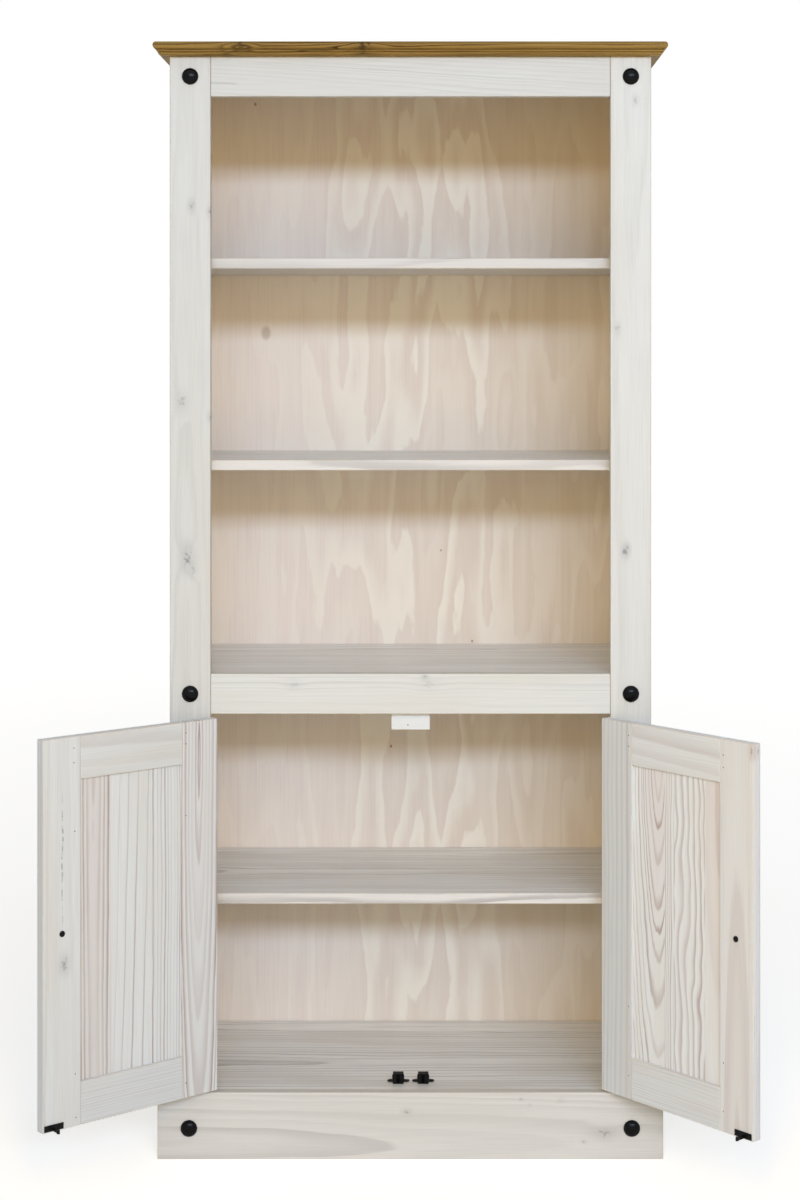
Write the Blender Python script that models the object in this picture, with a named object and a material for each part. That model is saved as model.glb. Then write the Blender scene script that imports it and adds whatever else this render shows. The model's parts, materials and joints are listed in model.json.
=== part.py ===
"""Tall waxed-pine bookcase: open shelves above a cupboard with two framed doors.

Metres, +Z up, +X to the right as seen from the front, +Y into the case. The origin is on
the floor, under the middle of the front plinth board. The doors are built closed on an
empty at their hinge axis, and the empty is then turned to the angle at which they stand open.
"""

import math

import bmesh
import bpy
from mathutils import Matrix, Vector

MM = 0.001

# Joinery in general
FIT = 0.3 * MM  # clearance between pieces that touch
EASE = 1.2 * MM  # rounding of planed edges
OVERCUT = 5 * MM  # how far a cutter reaches past the wall that it opens

# Carcass
OVERALL_HEIGHT = 1880 * MM
CARCASS_WIDTH = 814 * MM
CARCASS_DEPTH = 394 * MM
SIDE_THICK = 18 * MM
SHELF_THICK = 18 * MM
BACK_THICK = 5 * MM
REBATE_WIDTH = 9 * MM  # lip of the side panel that the back panel is let into
HOUSING_DEPTH = 6 * MM  # how far the fixed boards are let into the side panels
HIGH_SHELF_TOP = 1518 * MM
LOW_SHELF_TOP = 1174 * MM
MIDDLE_SHELF_TOP = 814 * MM
CUPBOARD_SHELF_TOP = 435 * MM
SHELF_SETBACK = 32 * MM  # loose shelves, behind the front of the face frame
SHELF_PLAY = 0.8 * MM  # loose shelves, at each end and at the back
CLEAT_WIDTH = 15 * MM
CLEAT_HEIGHT = 20 * MM
CLEAT_SETBACK = 10 * MM  # behind the front edge of the shelf, and in front of the back panel

# Face frame
FACE_THICK = 18 * MM
FACE_STILE_WIDTH = 69 * MM
TOP_RAIL_HEIGHT = 68 * MM
MIDDLE_RAIL_HEIGHT = 68 * MM
TENON_THICK = 7 * MM
TENON_LENGTH = 25 * MM
TENON_SHOULDER = 9 * MM  # above and below the tenon

# Moulded top
TOP_THICK = 22 * MM
TOP_OVERHANG = 26 * MM
NOSING_DEPTH = 5 * MM
BEAD_RADIUS = 1.7 * MM
BEAD_STEP = 2.4 * MM  # each bead stands this far behind the one above
QUIRK = 0.7 * MM  # narrow flat above each bead
FILLET = 1.4 * MM  # flat at the foot of the moulding

# Plinth
PLINTH_HEIGHT = 112 * MM
PLINTH_THICK = 18 * MM
PLINTH_EASE = 3 * MM

# Doors
DOOR_THICK = 18 * MM
DOOR_STILE_WIDTH = 70 * MM
DOOR_RAIL_HEIGHT = 70 * MM
DOOR_SIDE_GAP = 2 * MM
DOOR_TOP_GAP = 4 * MM
DOOR_BOTTOM_GAP = 5 * MM
DOOR_MEETING_GAP = 3 * MM
PANEL_THICK = 8 * MM
PANEL_PLAY = 1.5 * MM  # room for the panel to swell in its groove
GROOVE_DEPTH = 10 * MM
LEFT_DOOR_OPEN = 140.0  # degrees
RIGHT_DOOR_OPEN = 131.0  # degrees

# Butt hinges
HINGE_LENGTH = 60 * MM
HINGE_INSET = 90 * MM  # from the door's end to the hinge
LEAF_DEPTH = 13 * MM
LEAF_THICK = 1.2 * MM
KNUCKLE_RADIUS = 3 * MM
KNUCKLE_LENGTH = 20 * MM  # the door's knuckle, between the frame's two
PIN_RADIUS = 1.2 * MM

# Studs
STUD_RADIUS = 14 * MM
STUD_HEIGHT = 8 * MM
STUD_SHANK_RADIUS = 4 * MM
STUD_SHANK_LENGTH = 12 * MM
PLINTH_STUD_HEIGHT = 52 * MM

# Knobs, each held by a screw through the door
KNOB_RADIUS = 15 * MM
KNOB_REACH = 27 * MM
KNOB_CROWN = 7 * MM
KNOB_UNDERCUT = 6 * MM
KNOB_NECK_RADIUS = 6.5 * MM
KNOB_FOOT_RADIUS = 10 * MM
KNOB_FOOT_HEIGHT = 4 * MM
KNOB_SCREW_RADIUS = 2.5 * MM
KNOB_SCREW_BITE = 10 * MM  # length of the screw inside the knob
SCREW_HEAD_RADIUS = 5 * MM
SCREW_HEAD_HEIGHT = 2.5 * MM

# Stop block that the doors close against
STOP_WIDTH = 66 * MM
STOP_DEPTH = 20 * MM
STOP_DROP = 30 * MM  # below the middle rail

# Double roller catches on the bottom board, and their strikes on the doors
CATCH_SPACING = 42.5 * MM  # centre to centre of the two catches
CATCH_SETBACK = 6 * MM  # from the closed doors to the rollers
CATCH_WIDTH = 18 * MM
CATCH_HEIGHT = 17 * MM
CATCH_WALL = 1.6 * MM
EARS_WIDTH = 37.5 * MM  # tip to tip of the two screw ears
EAR_DEPTH = 11 * MM
EAR_SETBACK = 2 * MM  # middle of the ears, behind the housing's back
EAR_HOLE_RADIUS = 1.7 * MM
ROLLER_RADIUS = 4.5 * MM
ROLLER_GAP = 2.6 * MM
ROLLER_EASE = 0.8 * MM
ROLLER_PROUD = 1.5 * MM  # how far the rollers stand out of the housing's mouth
ROLLER_PIN_RADIUS = 1.4 * MM
STRIKE_WIDTH = 35 * MM
STRIKE_HEIGHT = 10 * MM
STRIKE_THICK = 1.2 * MM
STRIKE_INSET = 2 * MM  # above the door's lower edge
SPEAR_HEIGHT = 6 * MM
SPEAR_NECK = 1.6 * MM
SPEAR_HEAD = 6 * MM
SPEAR_TIP = 1.4 * MM
SPEAR_BARB = 2.7 * MM  # length of the slope behind the spear's widest place
SPEAR_NOSE = 3.3 * MM  # length of the slope ahead of it

# Facets of round forms
ROUND_STEPS = 20
DOME_STEPS = 5
EASE_STEPS = 2
CREASE_ANGLE = 35.0  # degrees; steeper edges stay sharp on turned pieces

# Places worked out from the sizes above
HALF_CARCASS = CARCASS_WIDTH / 2
HALF_INSIDE = HALF_CARCASS - SIDE_THICK
HALF_OPENING = HALF_CARCASS - FACE_STILE_WIDTH
CARCASS_HEIGHT = OVERALL_HEIGHT - TOP_THICK
FACE_Y = PLINTH_THICK / 2 + FIT
FACE_BACK_Y = FACE_Y + FACE_THICK
REAR_Y = FACE_Y + CARCASS_DEPTH
BACK_PANEL_Y = REAR_Y - BACK_THICK
INSIDE_BACK_Y = BACK_PANEL_Y - FIT
BOTTOM_BOARD_UNDER = PLINTH_HEIGHT - SHELF_THICK
MIDDLE_RAIL_UNDER = MIDDLE_SHELF_TOP - MIDDLE_RAIL_HEIGHT
MIDDLE_SHELF_UNDER = MIDDLE_SHELF_TOP - SHELF_THICK
STUD_X = HALF_OPENING + FACE_STILE_WIDTH / 2
FACE_RAILS = {  # row to the rail's underside and height
    "top": (CARCASS_HEIGHT - TOP_RAIL_HEIGHT - FIT, TOP_RAIL_HEIGHT),
    "middle": (MIDDLE_RAIL_UNDER, MIDDLE_RAIL_HEIGHT),
}

HINGE_PROUD = KNUCKLE_RADIUS + FIT
PIVOT_X = HALF_OPENING - DOOR_SIDE_GAP / 2
PIVOT_Y = FACE_Y - HINGE_PROUD
DOOR_BOTTOM = PLINTH_HEIGHT + DOOR_BOTTOM_GAP
DOOR_TOP = MIDDLE_RAIL_UNDER - DOOR_TOP_GAP
DOOR_NEAR = DOOR_SIDE_GAP / 2  # hinge edge, from the pivot
DOOR_FAR = PIVOT_X - DOOR_MEETING_GAP / 2  # free edge, from the pivot
DOOR_FRONT = HINGE_PROUD
DOOR_REAR = DOOR_FRONT + DOOR_THICK
DOOR_MIDDLE = (DOOR_FRONT + DOOR_REAR) / 2
KNOB_PLACE = DOOR_FAR - DOOR_STILE_WIDTH / 2
KNOB_Z = (DOOR_BOTTOM + DOOR_TOP) / 2
LOWER_HINGE_Z = DOOR_BOTTOM + HINGE_INSET
UPPER_HINGE_Z = DOOR_TOP - HINGE_INSET - HINGE_LENGTH

CATCH_Y = FACE_Y + DOOR_THICK + CATCH_SETBACK
CATCH_FLOOR = PLINTH_HEIGHT + FIT
ROLLER_Y = CATCH_Y + ROLLER_RADIUS
ROLLER_OFFSET = ROLLER_RADIUS + ROLLER_GAP / 2
STRIKE_UNDER = DOOR_BOTTOM + STRIKE_INSET
SPEAR_UNDER = CATCH_FLOOR + (CATCH_HEIGHT - SPEAR_HEIGHT) / 2
BARB_REACH = CATCH_SETBACK + 2 * ROLLER_RADIUS - FIT  # door's back to the spear's widest place
SPEAR_REACH = BARB_REACH + SPEAR_NOSE
CATCH_DEPTH = SPEAR_REACH - CATCH_SETBACK + 2 * CATCH_WALL

SIDES = {"left": -1, "right": 1}

# Finish name to colour, roughness and metallic value
FINISHES = {
    "white_wax": ((0.70, 0.70, 0.67), 0.55, 0.0),
    "golden_wax": ((0.46, 0.25, 0.10), 0.42, 0.0),
    "washed_plywood": ((0.60, 0.51, 0.44), 0.60, 0.0),
    "black_iron": ((0.016, 0.016, 0.018), 0.42, 0.7),
    "black_steel": ((0.022, 0.022, 0.024), 0.38, 0.8),
    "black_nylon": ((0.018, 0.018, 0.019), 0.35, 0.0),
}


def clear_scene():
    for item in list(bpy.data.objects):
        bpy.data.objects.remove(item)


def make_finish(piece_name, finish):
    """A Principled material of the piece's own."""
    colour, roughness, metallic = FINISHES[finish]
    material = bpy.data.materials.new(f"{piece_name}_{finish}")
    material.use_nodes = True
    shader = material.node_tree.nodes["Principled BSDF"]
    shader.inputs["Base Color"].default_value = (*colour, 1.0)
    shader.inputs["Roughness"].default_value = roughness
    shader.inputs["Metallic"].default_value = metallic
    return material


def link_mesh(name, bm, at, carrier):
    """Turn a bmesh into an object at a place in its carrier's frame."""
    bmesh.ops.recalc_face_normals(bm, faces=bm.faces)
    mesh = bpy.data.meshes.new(name)
    bm.to_mesh(mesh)
    bm.free()
    item = bpy.data.objects.new(name, mesh)
    item.location = at
    item.parent = carrier
    bpy.context.collection.objects.link(item)
    return item


def add_piece(name, bm, finish, at=(0, 0, 0), carrier=None):
    piece = link_mesh(name, bm, at, carrier)
    piece.data.materials.append(make_finish(name, finish))
    return piece


def shade_round(piece):
    piece.data.shade_smooth()
    piece.data.set_sharp_from_angle(angle=math.radians(CREASE_ANGLE))


def combine(piece, tool_bm, operation):
    """Join a closed shape to a piece, or cut it away; both are in the piece's own frame."""
    tool = link_mesh("tool", tool_bm, piece.location, piece.parent)
    modifier = piece.modifiers.new(operation.title(), "BOOLEAN")
    modifier.operation = operation
    modifier.object = tool
    graph = bpy.context.evaluated_depsgraph_get()
    piece.data = bpy.data.meshes.new_from_object(piece.evaluated_get(graph))
    piece.modifiers.remove(modifier)
    bpy.data.objects.remove(tool)


def span(sign, near, far):
    """The two x values at near and far on one side, lowest first."""
    return sorted((sign * near, sign * far))


def block(x, y, z):
    """Lowest and highest corners of a box from its three (low, high) pairs."""
    return Vector((x[0], y[0], z[0])), Vector((x[1], y[1], z[1]))


def add_box(bm, corners, shift=Vector()):
    low, high = corners
    place = Matrix.LocRotScale((low + high) / 2 - shift, None, high - low)
    bmesh.ops.create_cube(bm, size=1.0, matrix=place)


def add_rod(bm, radius, start, end, steps=ROUND_STEPS):
    """A capped cylinder between two points."""
    start, end = Vector(start), Vector(end)
    along = end - start
    turn = Vector((0, 0, 1)).rotation_difference(along).to_matrix().to_4x4()
    place = Matrix.Translation((start + end) / 2) @ turn
    bmesh.ops.create_cone(bm, cap_ends=True, segments=steps, radius1=radius, radius2=radius,
                          depth=along.length, matrix=place)


def add_prism(bm, outline, lift):
    """Raise a flat outline of points by a vector into a solid."""
    base = bm.faces.new([bm.verts.new(point) for point in outline])
    raised = bmesh.ops.extrude_face_region(bm, geom=[base], use_keep_orig=True)["geom"]
    bmesh.ops.translate(bm, vec=lift,
                        verts=[item for item in raised if isinstance(item, bmesh.types.BMVert)])


def add_turning(bm, outline, turn, hollow=False):
    """Spin (radius, height) points about +Z, then turn that axis where the piece points."""
    verts = [bm.verts.new((radius, 0, height)) for radius, height in outline]
    edges = [bm.edges.new(pair) for pair in zip(verts, verts[1:])]
    if hollow:
        edges.append(bm.edges.new((verts[-1], verts[0])))
    bmesh.ops.spin(bm, geom=verts + edges, cent=(0, 0, 0), axis=(0, 0, 1), angle=math.tau,
                   steps=ROUND_STEPS, use_merge=True)
    bmesh.ops.remove_doubles(bm, verts=bm.verts, dist=FIT / 100)
    bmesh.ops.transform(bm, matrix=turn, verts=bm.verts)


def arc(centre, radii, start, stop, steps):
    """Points on an ellipse's arc, angles in degrees."""
    points = []
    for step in range(steps + 1):
        angle = math.radians(start + (stop - start) * step / steps)
        points.append((centre[0] + radii[0] * math.cos(angle),
                       centre[1] + radii[1] * math.sin(angle)))
    return points


FACING_FRONT = Matrix.Rotation(math.radians(90), 4, "X")  # turns +Z to -Y
FACING_REAR = Matrix.Rotation(math.radians(-90), 4, "X")  # turns +Z to +Y
FACING_UP = Matrix.Identity(4)


def board(name, corners, finish="white_wax", carrier=None, ease=EASE):
    """A planed board with eased edges."""
    low, high = corners
    middle = (low + high) / 2
    bm = bmesh.new()
    add_box(bm, corners, middle)
    bmesh.ops.bevel(bm, geom=list(bm.edges), offset=ease, segments=EASE_STEPS, profile=0.5,
                    affect="EDGES")
    return add_piece(name, bm, finish, middle, carrier)


def cut_blocks(piece, blocks):
    bm = bmesh.new()
    for corners in blocks:
        add_box(bm, corners, piece.location)
    combine(piece, bm, "DIFFERENCE")


def join_block(piece, corners):
    bm = bmesh.new()
    add_box(bm, corners, piece.location)
    combine(piece, bm, "UNION")


def drill(piece, radius, start, end):
    bm = bmesh.new()
    add_rod(bm, radius, Vector(start) - piece.location, Vector(end) - piece.location)
    combine(piece, bm, "DIFFERENCE")


def join_rod(piece, radius, start, end):
    bm = bmesh.new()
    add_rod(bm, radius, Vector(start) - piece.location, Vector(end) - piece.location)
    combine(piece, bm, "UNION")


# Moulded top

def moulding_outline():
    """(inset, drop) points down the top's edge: a round nosing over two stepped beads."""
    bead_band = QUIRK + 2 * BEAD_RADIUS
    nosing_height = TOP_THICK - FILLET - 2 * bead_band
    points = arc((NOSING_DEPTH, nosing_height / 2), (NOSING_DEPTH, nosing_height / 2), -90, -270,
                 2 * DOME_STEPS)
    for bead in (1, 2):
        inset = NOSING_DEPTH + bead * BEAD_STEP - BEAD_RADIUS
        top = nosing_height + (bead - 1) * bead_band + QUIRK
        points.append((inset + BEAD_RADIUS, top - QUIRK))
        points += arc((inset + BEAD_RADIUS, top + BEAD_RADIUS), (BEAD_RADIUS, BEAD_RADIUS),
                      -90, -270, DOME_STEPS)
    foot = NOSING_DEPTH + 3 * BEAD_STEP
    points.append((foot, TOP_THICK - FILLET))
    points.append((foot, TOP_THICK))
    return points


def make_top():
    """Sweep the moulding round the front and both ends, mitred at the corners."""
    bm = bmesh.new()
    reach = HALF_CARCASS + TOP_OVERHANG
    front = FACE_Y - TOP_OVERHANG
    rings = []
    for inset, drop in moulding_outline():
        x, y, z = reach - inset, front + inset, OVERALL_HEIGHT - drop
        corners = ((-x, REAR_Y), (-x, y), (x, y), (x, REAR_Y))
        rings.append([bm.verts.new((*corner, z)) for corner in corners])
    for upper, lower in zip(rings, rings[1:]):
        for run in range(3):
            bm.faces.new((upper[run], upper[run + 1], lower[run + 1], lower[run]))
    bm.faces.new(rings[0])
    bm.faces.new(rings[-1])
    bm.faces.new([ring[0] for ring in rings] + [ring[3] for ring in reversed(rings)])
    add_piece("top_board", bm, "golden_wax")


# Carcass

def make_side_panel(label, sign):
    """A side with housings for the fixed boards and a rebate for the back panel."""
    panel = board(f"{label}_side_panel", block(
        span(sign, HALF_INSIDE, HALF_CARCASS), (FACE_BACK_Y + FIT, REAR_Y),
        (0, CARCASS_HEIGHT - FIT)))
    rebate = block(span(sign, HALF_INSIDE - OVERCUT, HALF_INSIDE + REBATE_WIDTH),
                   (INSIDE_BACK_Y, REAR_Y + OVERCUT), (-OVERCUT, CARCASS_HEIGHT + OVERCUT))
    cuts = [rebate]
    for under in (BOTTOM_BOARD_UNDER, MIDDLE_SHELF_UNDER):
        cuts.append(block(span(sign, HALF_INSIDE - OVERCUT, HALF_INSIDE + HOUSING_DEPTH),
                          (FACE_Y, INSIDE_BACK_Y - FIT),
                          (under - FIT, under + SHELF_THICK + FIT)))
    for corners in cuts:
        cut_blocks(panel, [corners])


def rail_tenon(sign, under, height):
    """Corners of a face rail's tenon, running well into the rail."""
    middle = FACE_Y + FACE_THICK / 2
    return block(span(sign, HALF_OPENING - TENON_LENGTH, HALF_OPENING + TENON_LENGTH),
                 (middle - TENON_THICK / 2, middle + TENON_THICK / 2),
                 (under + TENON_SHOULDER, under + height - TENON_SHOULDER))


def enlarged(corners, margin):
    low, high = corners
    push = Vector((margin, margin, margin))
    return low - push, high + push


def make_face_rail(name, under, height):
    rail = board(name, block((FIT - HALF_OPENING, HALF_OPENING - FIT), (FACE_Y, FACE_BACK_Y),
                             (under, under + height)))
    for sign in SIDES.values():
        join_block(rail, rail_tenon(sign, under, height))


def make_face_stile(label, sign):
    """A full-height stile, mortised for the rails, drilled for studs, let in for hinges."""
    stile = board(f"{label}_face_stile", block(
        span(sign, HALF_OPENING, HALF_CARCASS), (FACE_Y, FACE_BACK_Y), (0, CARCASS_HEIGHT - FIT)))
    for under, height in FACE_RAILS.values():
        cut_blocks(stile, [enlarged(rail_tenon(sign, under, height), FIT)])
        drill_for_stud(stile, sign * STUD_X, FACE_Y, under + height / 2)
    for under in (LOWER_HINGE_Z, UPPER_HINGE_Z):
        cut_blocks(stile, [block(
            span(sign, HALF_OPENING - OVERCUT, HALF_OPENING + LEAF_THICK + FIT),
            (FACE_Y - OVERCUT, FACE_Y + LEAF_DEPTH + FIT),
            (under - FIT, under + HINGE_LENGTH + FIT))])


def make_fixed_boards():
    reach = HALF_INSIDE + HOUSING_DEPTH - FIT
    rear = INSIDE_BACK_Y - 2 * FIT
    board("middle_shelf", block((-reach, reach), (FACE_BACK_Y + FIT, rear),
                                (MIDDLE_SHELF_UNDER, MIDDLE_SHELF_TOP)))
    bottom = board("bottom_board", block((-reach, reach), (FACE_Y, rear),
                                         (BOTTOM_BOARD_UNDER, PLINTH_HEIGHT)))
    for sign in SIDES.values():
        cut_blocks(bottom, [block(span(sign, HALF_OPENING - FIT, reach + OVERCUT),
                                  (FACE_Y - OVERCUT, FACE_BACK_Y + FIT),
                                  (BOTTOM_BOARD_UNDER - OVERCUT, PLINTH_HEIGHT + OVERCUT))])
    lip = HALF_INSIDE + REBATE_WIDTH - FIT
    board("back_panel", block((-lip, lip), (BACK_PANEL_Y, REAR_Y),
                              (BOTTOM_BOARD_UNDER, CARCASS_HEIGHT - FIT)), "washed_plywood",
          ease=FIT)
    board("plinth_rear", block((FIT - HALF_INSIDE, HALF_INSIDE - FIT),
                               (INSIDE_BACK_Y - PLINTH_THICK, INSIDE_BACK_Y),
                               (0, BOTTOM_BOARD_UNDER - FIT)))


def make_loose_shelf(name, top):
    """A shelf that lies on a cleat at each end."""
    reach = HALF_INSIDE - SHELF_PLAY
    front = FACE_Y + SHELF_SETBACK
    under = top - SHELF_THICK
    board(f"{name}_shelf", block((-reach, reach), (front, INSIDE_BACK_Y - SHELF_PLAY),
                                 (under, top)))
    for label, sign in SIDES.items():
        board(f"{label}_{name}_cleat", block(
            span(sign, HALF_INSIDE - CLEAT_WIDTH, HALF_INSIDE - FIT),
            (front + CLEAT_SETBACK, INSIDE_BACK_Y - CLEAT_SETBACK),
            (under - FIT - CLEAT_HEIGHT, under - FIT)))


def make_plinth_board(name, outline):
    """Raise a plan outline to the plinth's height; the top of its first, outer edge is rounded."""
    bm = bmesh.new()
    add_prism(bm, [(x, y, 0) for x, y in outline], (0, 0, PLINTH_HEIGHT))
    ends = [Vector((x, y, PLINTH_HEIGHT)) for x, y in outline[:2]]
    rounded = [edge for edge in bm.edges
               if all(min((vert.co - end).length for end in ends) < FIT for vert in edge.verts)]
    bmesh.ops.bevel(bm, geom=rounded, offset=PLINTH_EASE, segments=2 * EASE_STEPS, profile=0.5,
                    affect="EDGES")
    return add_piece(name, bm, "white_wax")


def make_plinth():
    """A skirt round the front and sides, mitred at the corners."""
    inner_x, outer_x = HALF_CARCASS + FIT, HALF_CARCASS + FIT + PLINTH_THICK
    inner_y, outer_y = FACE_Y - FIT, FACE_Y - FIT - PLINTH_THICK
    front = make_plinth_board("plinth_front", (
        (FIT - outer_x, outer_y), (outer_x - FIT, outer_y),
        (inner_x - FIT, inner_y), (FIT - inner_x, inner_y)))
    for label, sign in SIDES.items():
        make_plinth_board(f"plinth_{label}", (
            (sign * outer_x, outer_y + FIT), (sign * outer_x, REAR_Y),
            (sign * inner_x, REAR_Y), (sign * inner_x, inner_y + FIT)))
        drill_for_stud(front, sign * STUD_X, outer_y, PLINTH_STUD_HEIGHT)


def make_stop_block():
    front = FACE_Y + max(FACE_THICK, DOOR_THICK) + FIT
    board("door_stop_block", block((-STOP_WIDTH / 2, STOP_WIDTH / 2), (front, front + STOP_DEPTH),
                                   (MIDDLE_RAIL_UNDER - STOP_DROP, MIDDLE_SHELF_UNDER - FIT)))


# Studs

def drill_for_stud(piece, x, face_y, z):
    """A blind hole for a stud's shank, in a face that looks to the front."""
    deep = STUD_SHANK_LENGTH + FIT
    drill(piece, STUD_SHANK_RADIUS + FIT, (x, face_y - OVERCUT, z), (x, face_y + deep, z))


def make_stud(name, x, face_y, z):
    """A domed head on a blunt shank."""
    outline = arc((0, 0), (STUD_RADIUS, STUD_HEIGHT), 90, 0, DOME_STEPS)
    outline += [(STUD_SHANK_RADIUS, 0), (STUD_SHANK_RADIUS, FIT - STUD_SHANK_LENGTH),
                (0, FIT - STUD_SHANK_LENGTH)]
    bm = bmesh.new()
    add_turning(bm, outline, FACING_FRONT)
    shade_round(add_piece(name, bm, "black_iron", (x, face_y - FIT, z)))


def make_studs():
    for label, sign in SIDES.items():
        x = sign * STUD_X
        for row, (under, height) in FACE_RAILS.items():
            make_stud(f"{label}_{row}_stud", x, FACE_Y, under + height / 2)
        make_stud(f"{label}_plinth_stud", x, FACE_Y - FIT - PLINTH_THICK, PLINTH_STUD_HEIGHT)


# Doors, in the frame of their pivot with the door closed

def make_door_stile(name, inward, near, far, groove, pivot):
    """A full-height stile, grooved along the edge that holds the panel."""
    stile = board(name, block(span(inward, near, far), (DOOR_FRONT, DOOR_REAR),
                              (DOOR_BOTTOM, DOOR_TOP)), carrier=pivot)
    half = PANEL_THICK / 2 + FIT
    cut_blocks(stile, [block(span(inward, *groove), (DOOR_MIDDLE - half, DOOR_MIDDLE + half),
                             (DOOR_BOTTOM - OVERCUT, DOOR_TOP + OVERCUT))])
    return stile


def make_door_rail(name, inward, under, inner, pivot):
    """A rail whose tongues fill the stiles' grooves; inner is +1 if its panel is above it."""
    near, far = DOOR_NEAR + DOOR_STILE_WIDTH + FIT, DOOR_FAR - DOOR_STILE_WIDTH - FIT
    over = under + DOOR_RAIL_HEIGHT
    rail = board(name, block(span(inward, near, far), (DOOR_FRONT, DOOR_REAR), (under, over)),
                 carrier=pivot)
    edge = over if inner > 0 else under
    half = PANEL_THICK / 2 + FIT
    groove = sorted((edge - inner * GROOVE_DEPTH, edge + inner * OVERCUT))
    cut_blocks(rail, [block(span(inward, near - OVERCUT, far + OVERCUT),
                            (DOOR_MIDDLE - half, DOOR_MIDDLE + half), groove)])
    core = sorted((edge - inner * (GROOVE_DEPTH + EASE), edge - inner * (DOOR_RAIL_HEIGHT - EASE)))
    tongue = GROOVE_DEPTH - FIT
    for root, tip in ((near + tongue, near - tongue), (far - tongue, far + tongue)):
        join_block(rail, block(span(inward, root, tip),
                               (DOOR_MIDDLE - PANEL_THICK / 2, DOOR_MIDDLE + PANEL_THICK / 2),
                               core))


def make_door_frame(label, inward, pivot):
    groove_near = DOOR_NEAR + DOOR_STILE_WIDTH
    groove_far = DOOR_FAR - DOOR_STILE_WIDTH
    hinge_stile = make_door_stile(f"{label}_door_hinge_stile", inward, DOOR_NEAR, groove_near,
                                  (groove_near - GROOVE_DEPTH, groove_near + OVERCUT), pivot)
    for under in (LOWER_HINGE_Z, UPPER_HINGE_Z):
        cut_blocks(hinge_stile, [block(
            span(inward, DOOR_NEAR - OVERCUT, DOOR_NEAR + LEAF_THICK + FIT),
            (DOOR_FRONT - OVERCUT, DOOR_FRONT + LEAF_DEPTH + FIT),
            (under - FIT, under + HINGE_LENGTH + FIT))])
    meeting_stile = make_door_stile(f"{label}_door_meeting_stile", inward, groove_far, DOOR_FAR,
                                    (groove_far - OVERCUT, groove_far + GROOVE_DEPTH), pivot)
    x = inward * KNOB_PLACE
    drill(meeting_stile, KNOB_SCREW_RADIUS + FIT, (x, DOOR_FRONT - OVERCUT, KNOB_Z),
          (x, DOOR_REAR + OVERCUT, KNOB_Z))
    make_door_rail(f"{label}_door_top_rail", inward, DOOR_TOP - DOOR_RAIL_HEIGHT, -1, pivot)
    make_door_rail(f"{label}_door_bottom_rail", inward, DOOR_BOTTOM, 1, pivot)
    seat = GROOVE_DEPTH - PANEL_PLAY
    board(f"{label}_door_panel", block(
        span(inward, groove_near - seat, groove_far + seat),
        (DOOR_MIDDLE - PANEL_THICK / 2, DOOR_MIDDLE + PANEL_THICK / 2),
        (DOOR_BOTTOM + DOOR_RAIL_HEIGHT - seat, DOOR_TOP - DOOR_RAIL_HEIGHT + seat)),
          carrier=pivot)


def make_knob(label, inward, pivot):
    """A turned knob on the door's front, and the screw that holds it from the back."""
    waist = KNOB_REACH - KNOB_CROWN
    bore = KNOB_SCREW_RADIUS + FIT
    outline = arc((0, waist), (KNOB_RADIUS, KNOB_CROWN), 90, 0, DOME_STEPS)
    outline += arc((KNOB_NECK_RADIUS, waist), (KNOB_RADIUS - KNOB_NECK_RADIUS, KNOB_UNDERCUT),
                   0, -90, DOME_STEPS - 1)[1:]
    outline += arc((KNOB_FOOT_RADIUS, waist - KNOB_UNDERCUT),
                   (KNOB_FOOT_RADIUS - KNOB_NECK_RADIUS,
                    waist - KNOB_UNDERCUT - KNOB_FOOT_HEIGHT), 180, 270, DOME_STEPS - 1)[1:]
    outline += [(KNOB_FOOT_RADIUS, 0), (bore, 0), (bore, KNOB_SCREW_BITE + FIT),
                (0, KNOB_SCREW_BITE + FIT)]
    bm = bmesh.new()
    add_turning(bm, outline, FACING_FRONT)
    x = inward * KNOB_PLACE
    shade_round(add_piece(f"{label}_knob", bm, "black_iron", (x, DOOR_FRONT - FIT, KNOB_Z), pivot))

    shank = DOOR_THICK + 2 * FIT + KNOB_SCREW_BITE
    outline = arc((0, 0), (SCREW_HEAD_RADIUS, SCREW_HEAD_HEIGHT), 90, 0, DOME_STEPS - 1)
    outline += [(KNOB_SCREW_RADIUS, 0), (KNOB_SCREW_RADIUS, -shank), (0, -shank)]
    bm = bmesh.new()
    add_turning(bm, outline, FACING_REAR)
    shade_round(add_piece(f"{label}_knob_screw", bm, "black_steel",
                          (x, DOOR_REAR + FIT, KNOB_Z), pivot))


def leaf_outline(x, face, under, knuckles):
    """Edge-on outline of a hinge leaf: a plate with a tongue to each of its knuckles."""
    top = under + HINGE_LENGTH
    root = face + FIT
    outline = [(face + LEAF_DEPTH, under), (face + LEAF_DEPTH, top), (root, top)]
    for low, high in reversed(knuckles):
        outline += [(root, high), (face - HINGE_PROUD, high), (face - HINGE_PROUD, low),
                    (root, low)]
    outline.append((root, under))
    points = []
    for y, z in outline:
        if not points or (y, z) != points[-1]:
            points.append((y, z))
    return [(x, y, z) for y, z in points]


def make_leaf(name, plate_x, axis, face, under, knuckles, carrier):
    """A leaf from its inner to its outer x, with solid knuckles on the hinge axis."""
    bm = bmesh.new()
    low, high = plate_x
    add_prism(bm, leaf_outline(low, face, under, knuckles), (high - low, 0, 0))
    leaf = add_piece(name, bm, "black_steel", carrier=carrier)
    for start, end in knuckles:
        join_rod(leaf, KNUCKLE_RADIUS, (*axis, start), (*axis, end))
    return leaf


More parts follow.
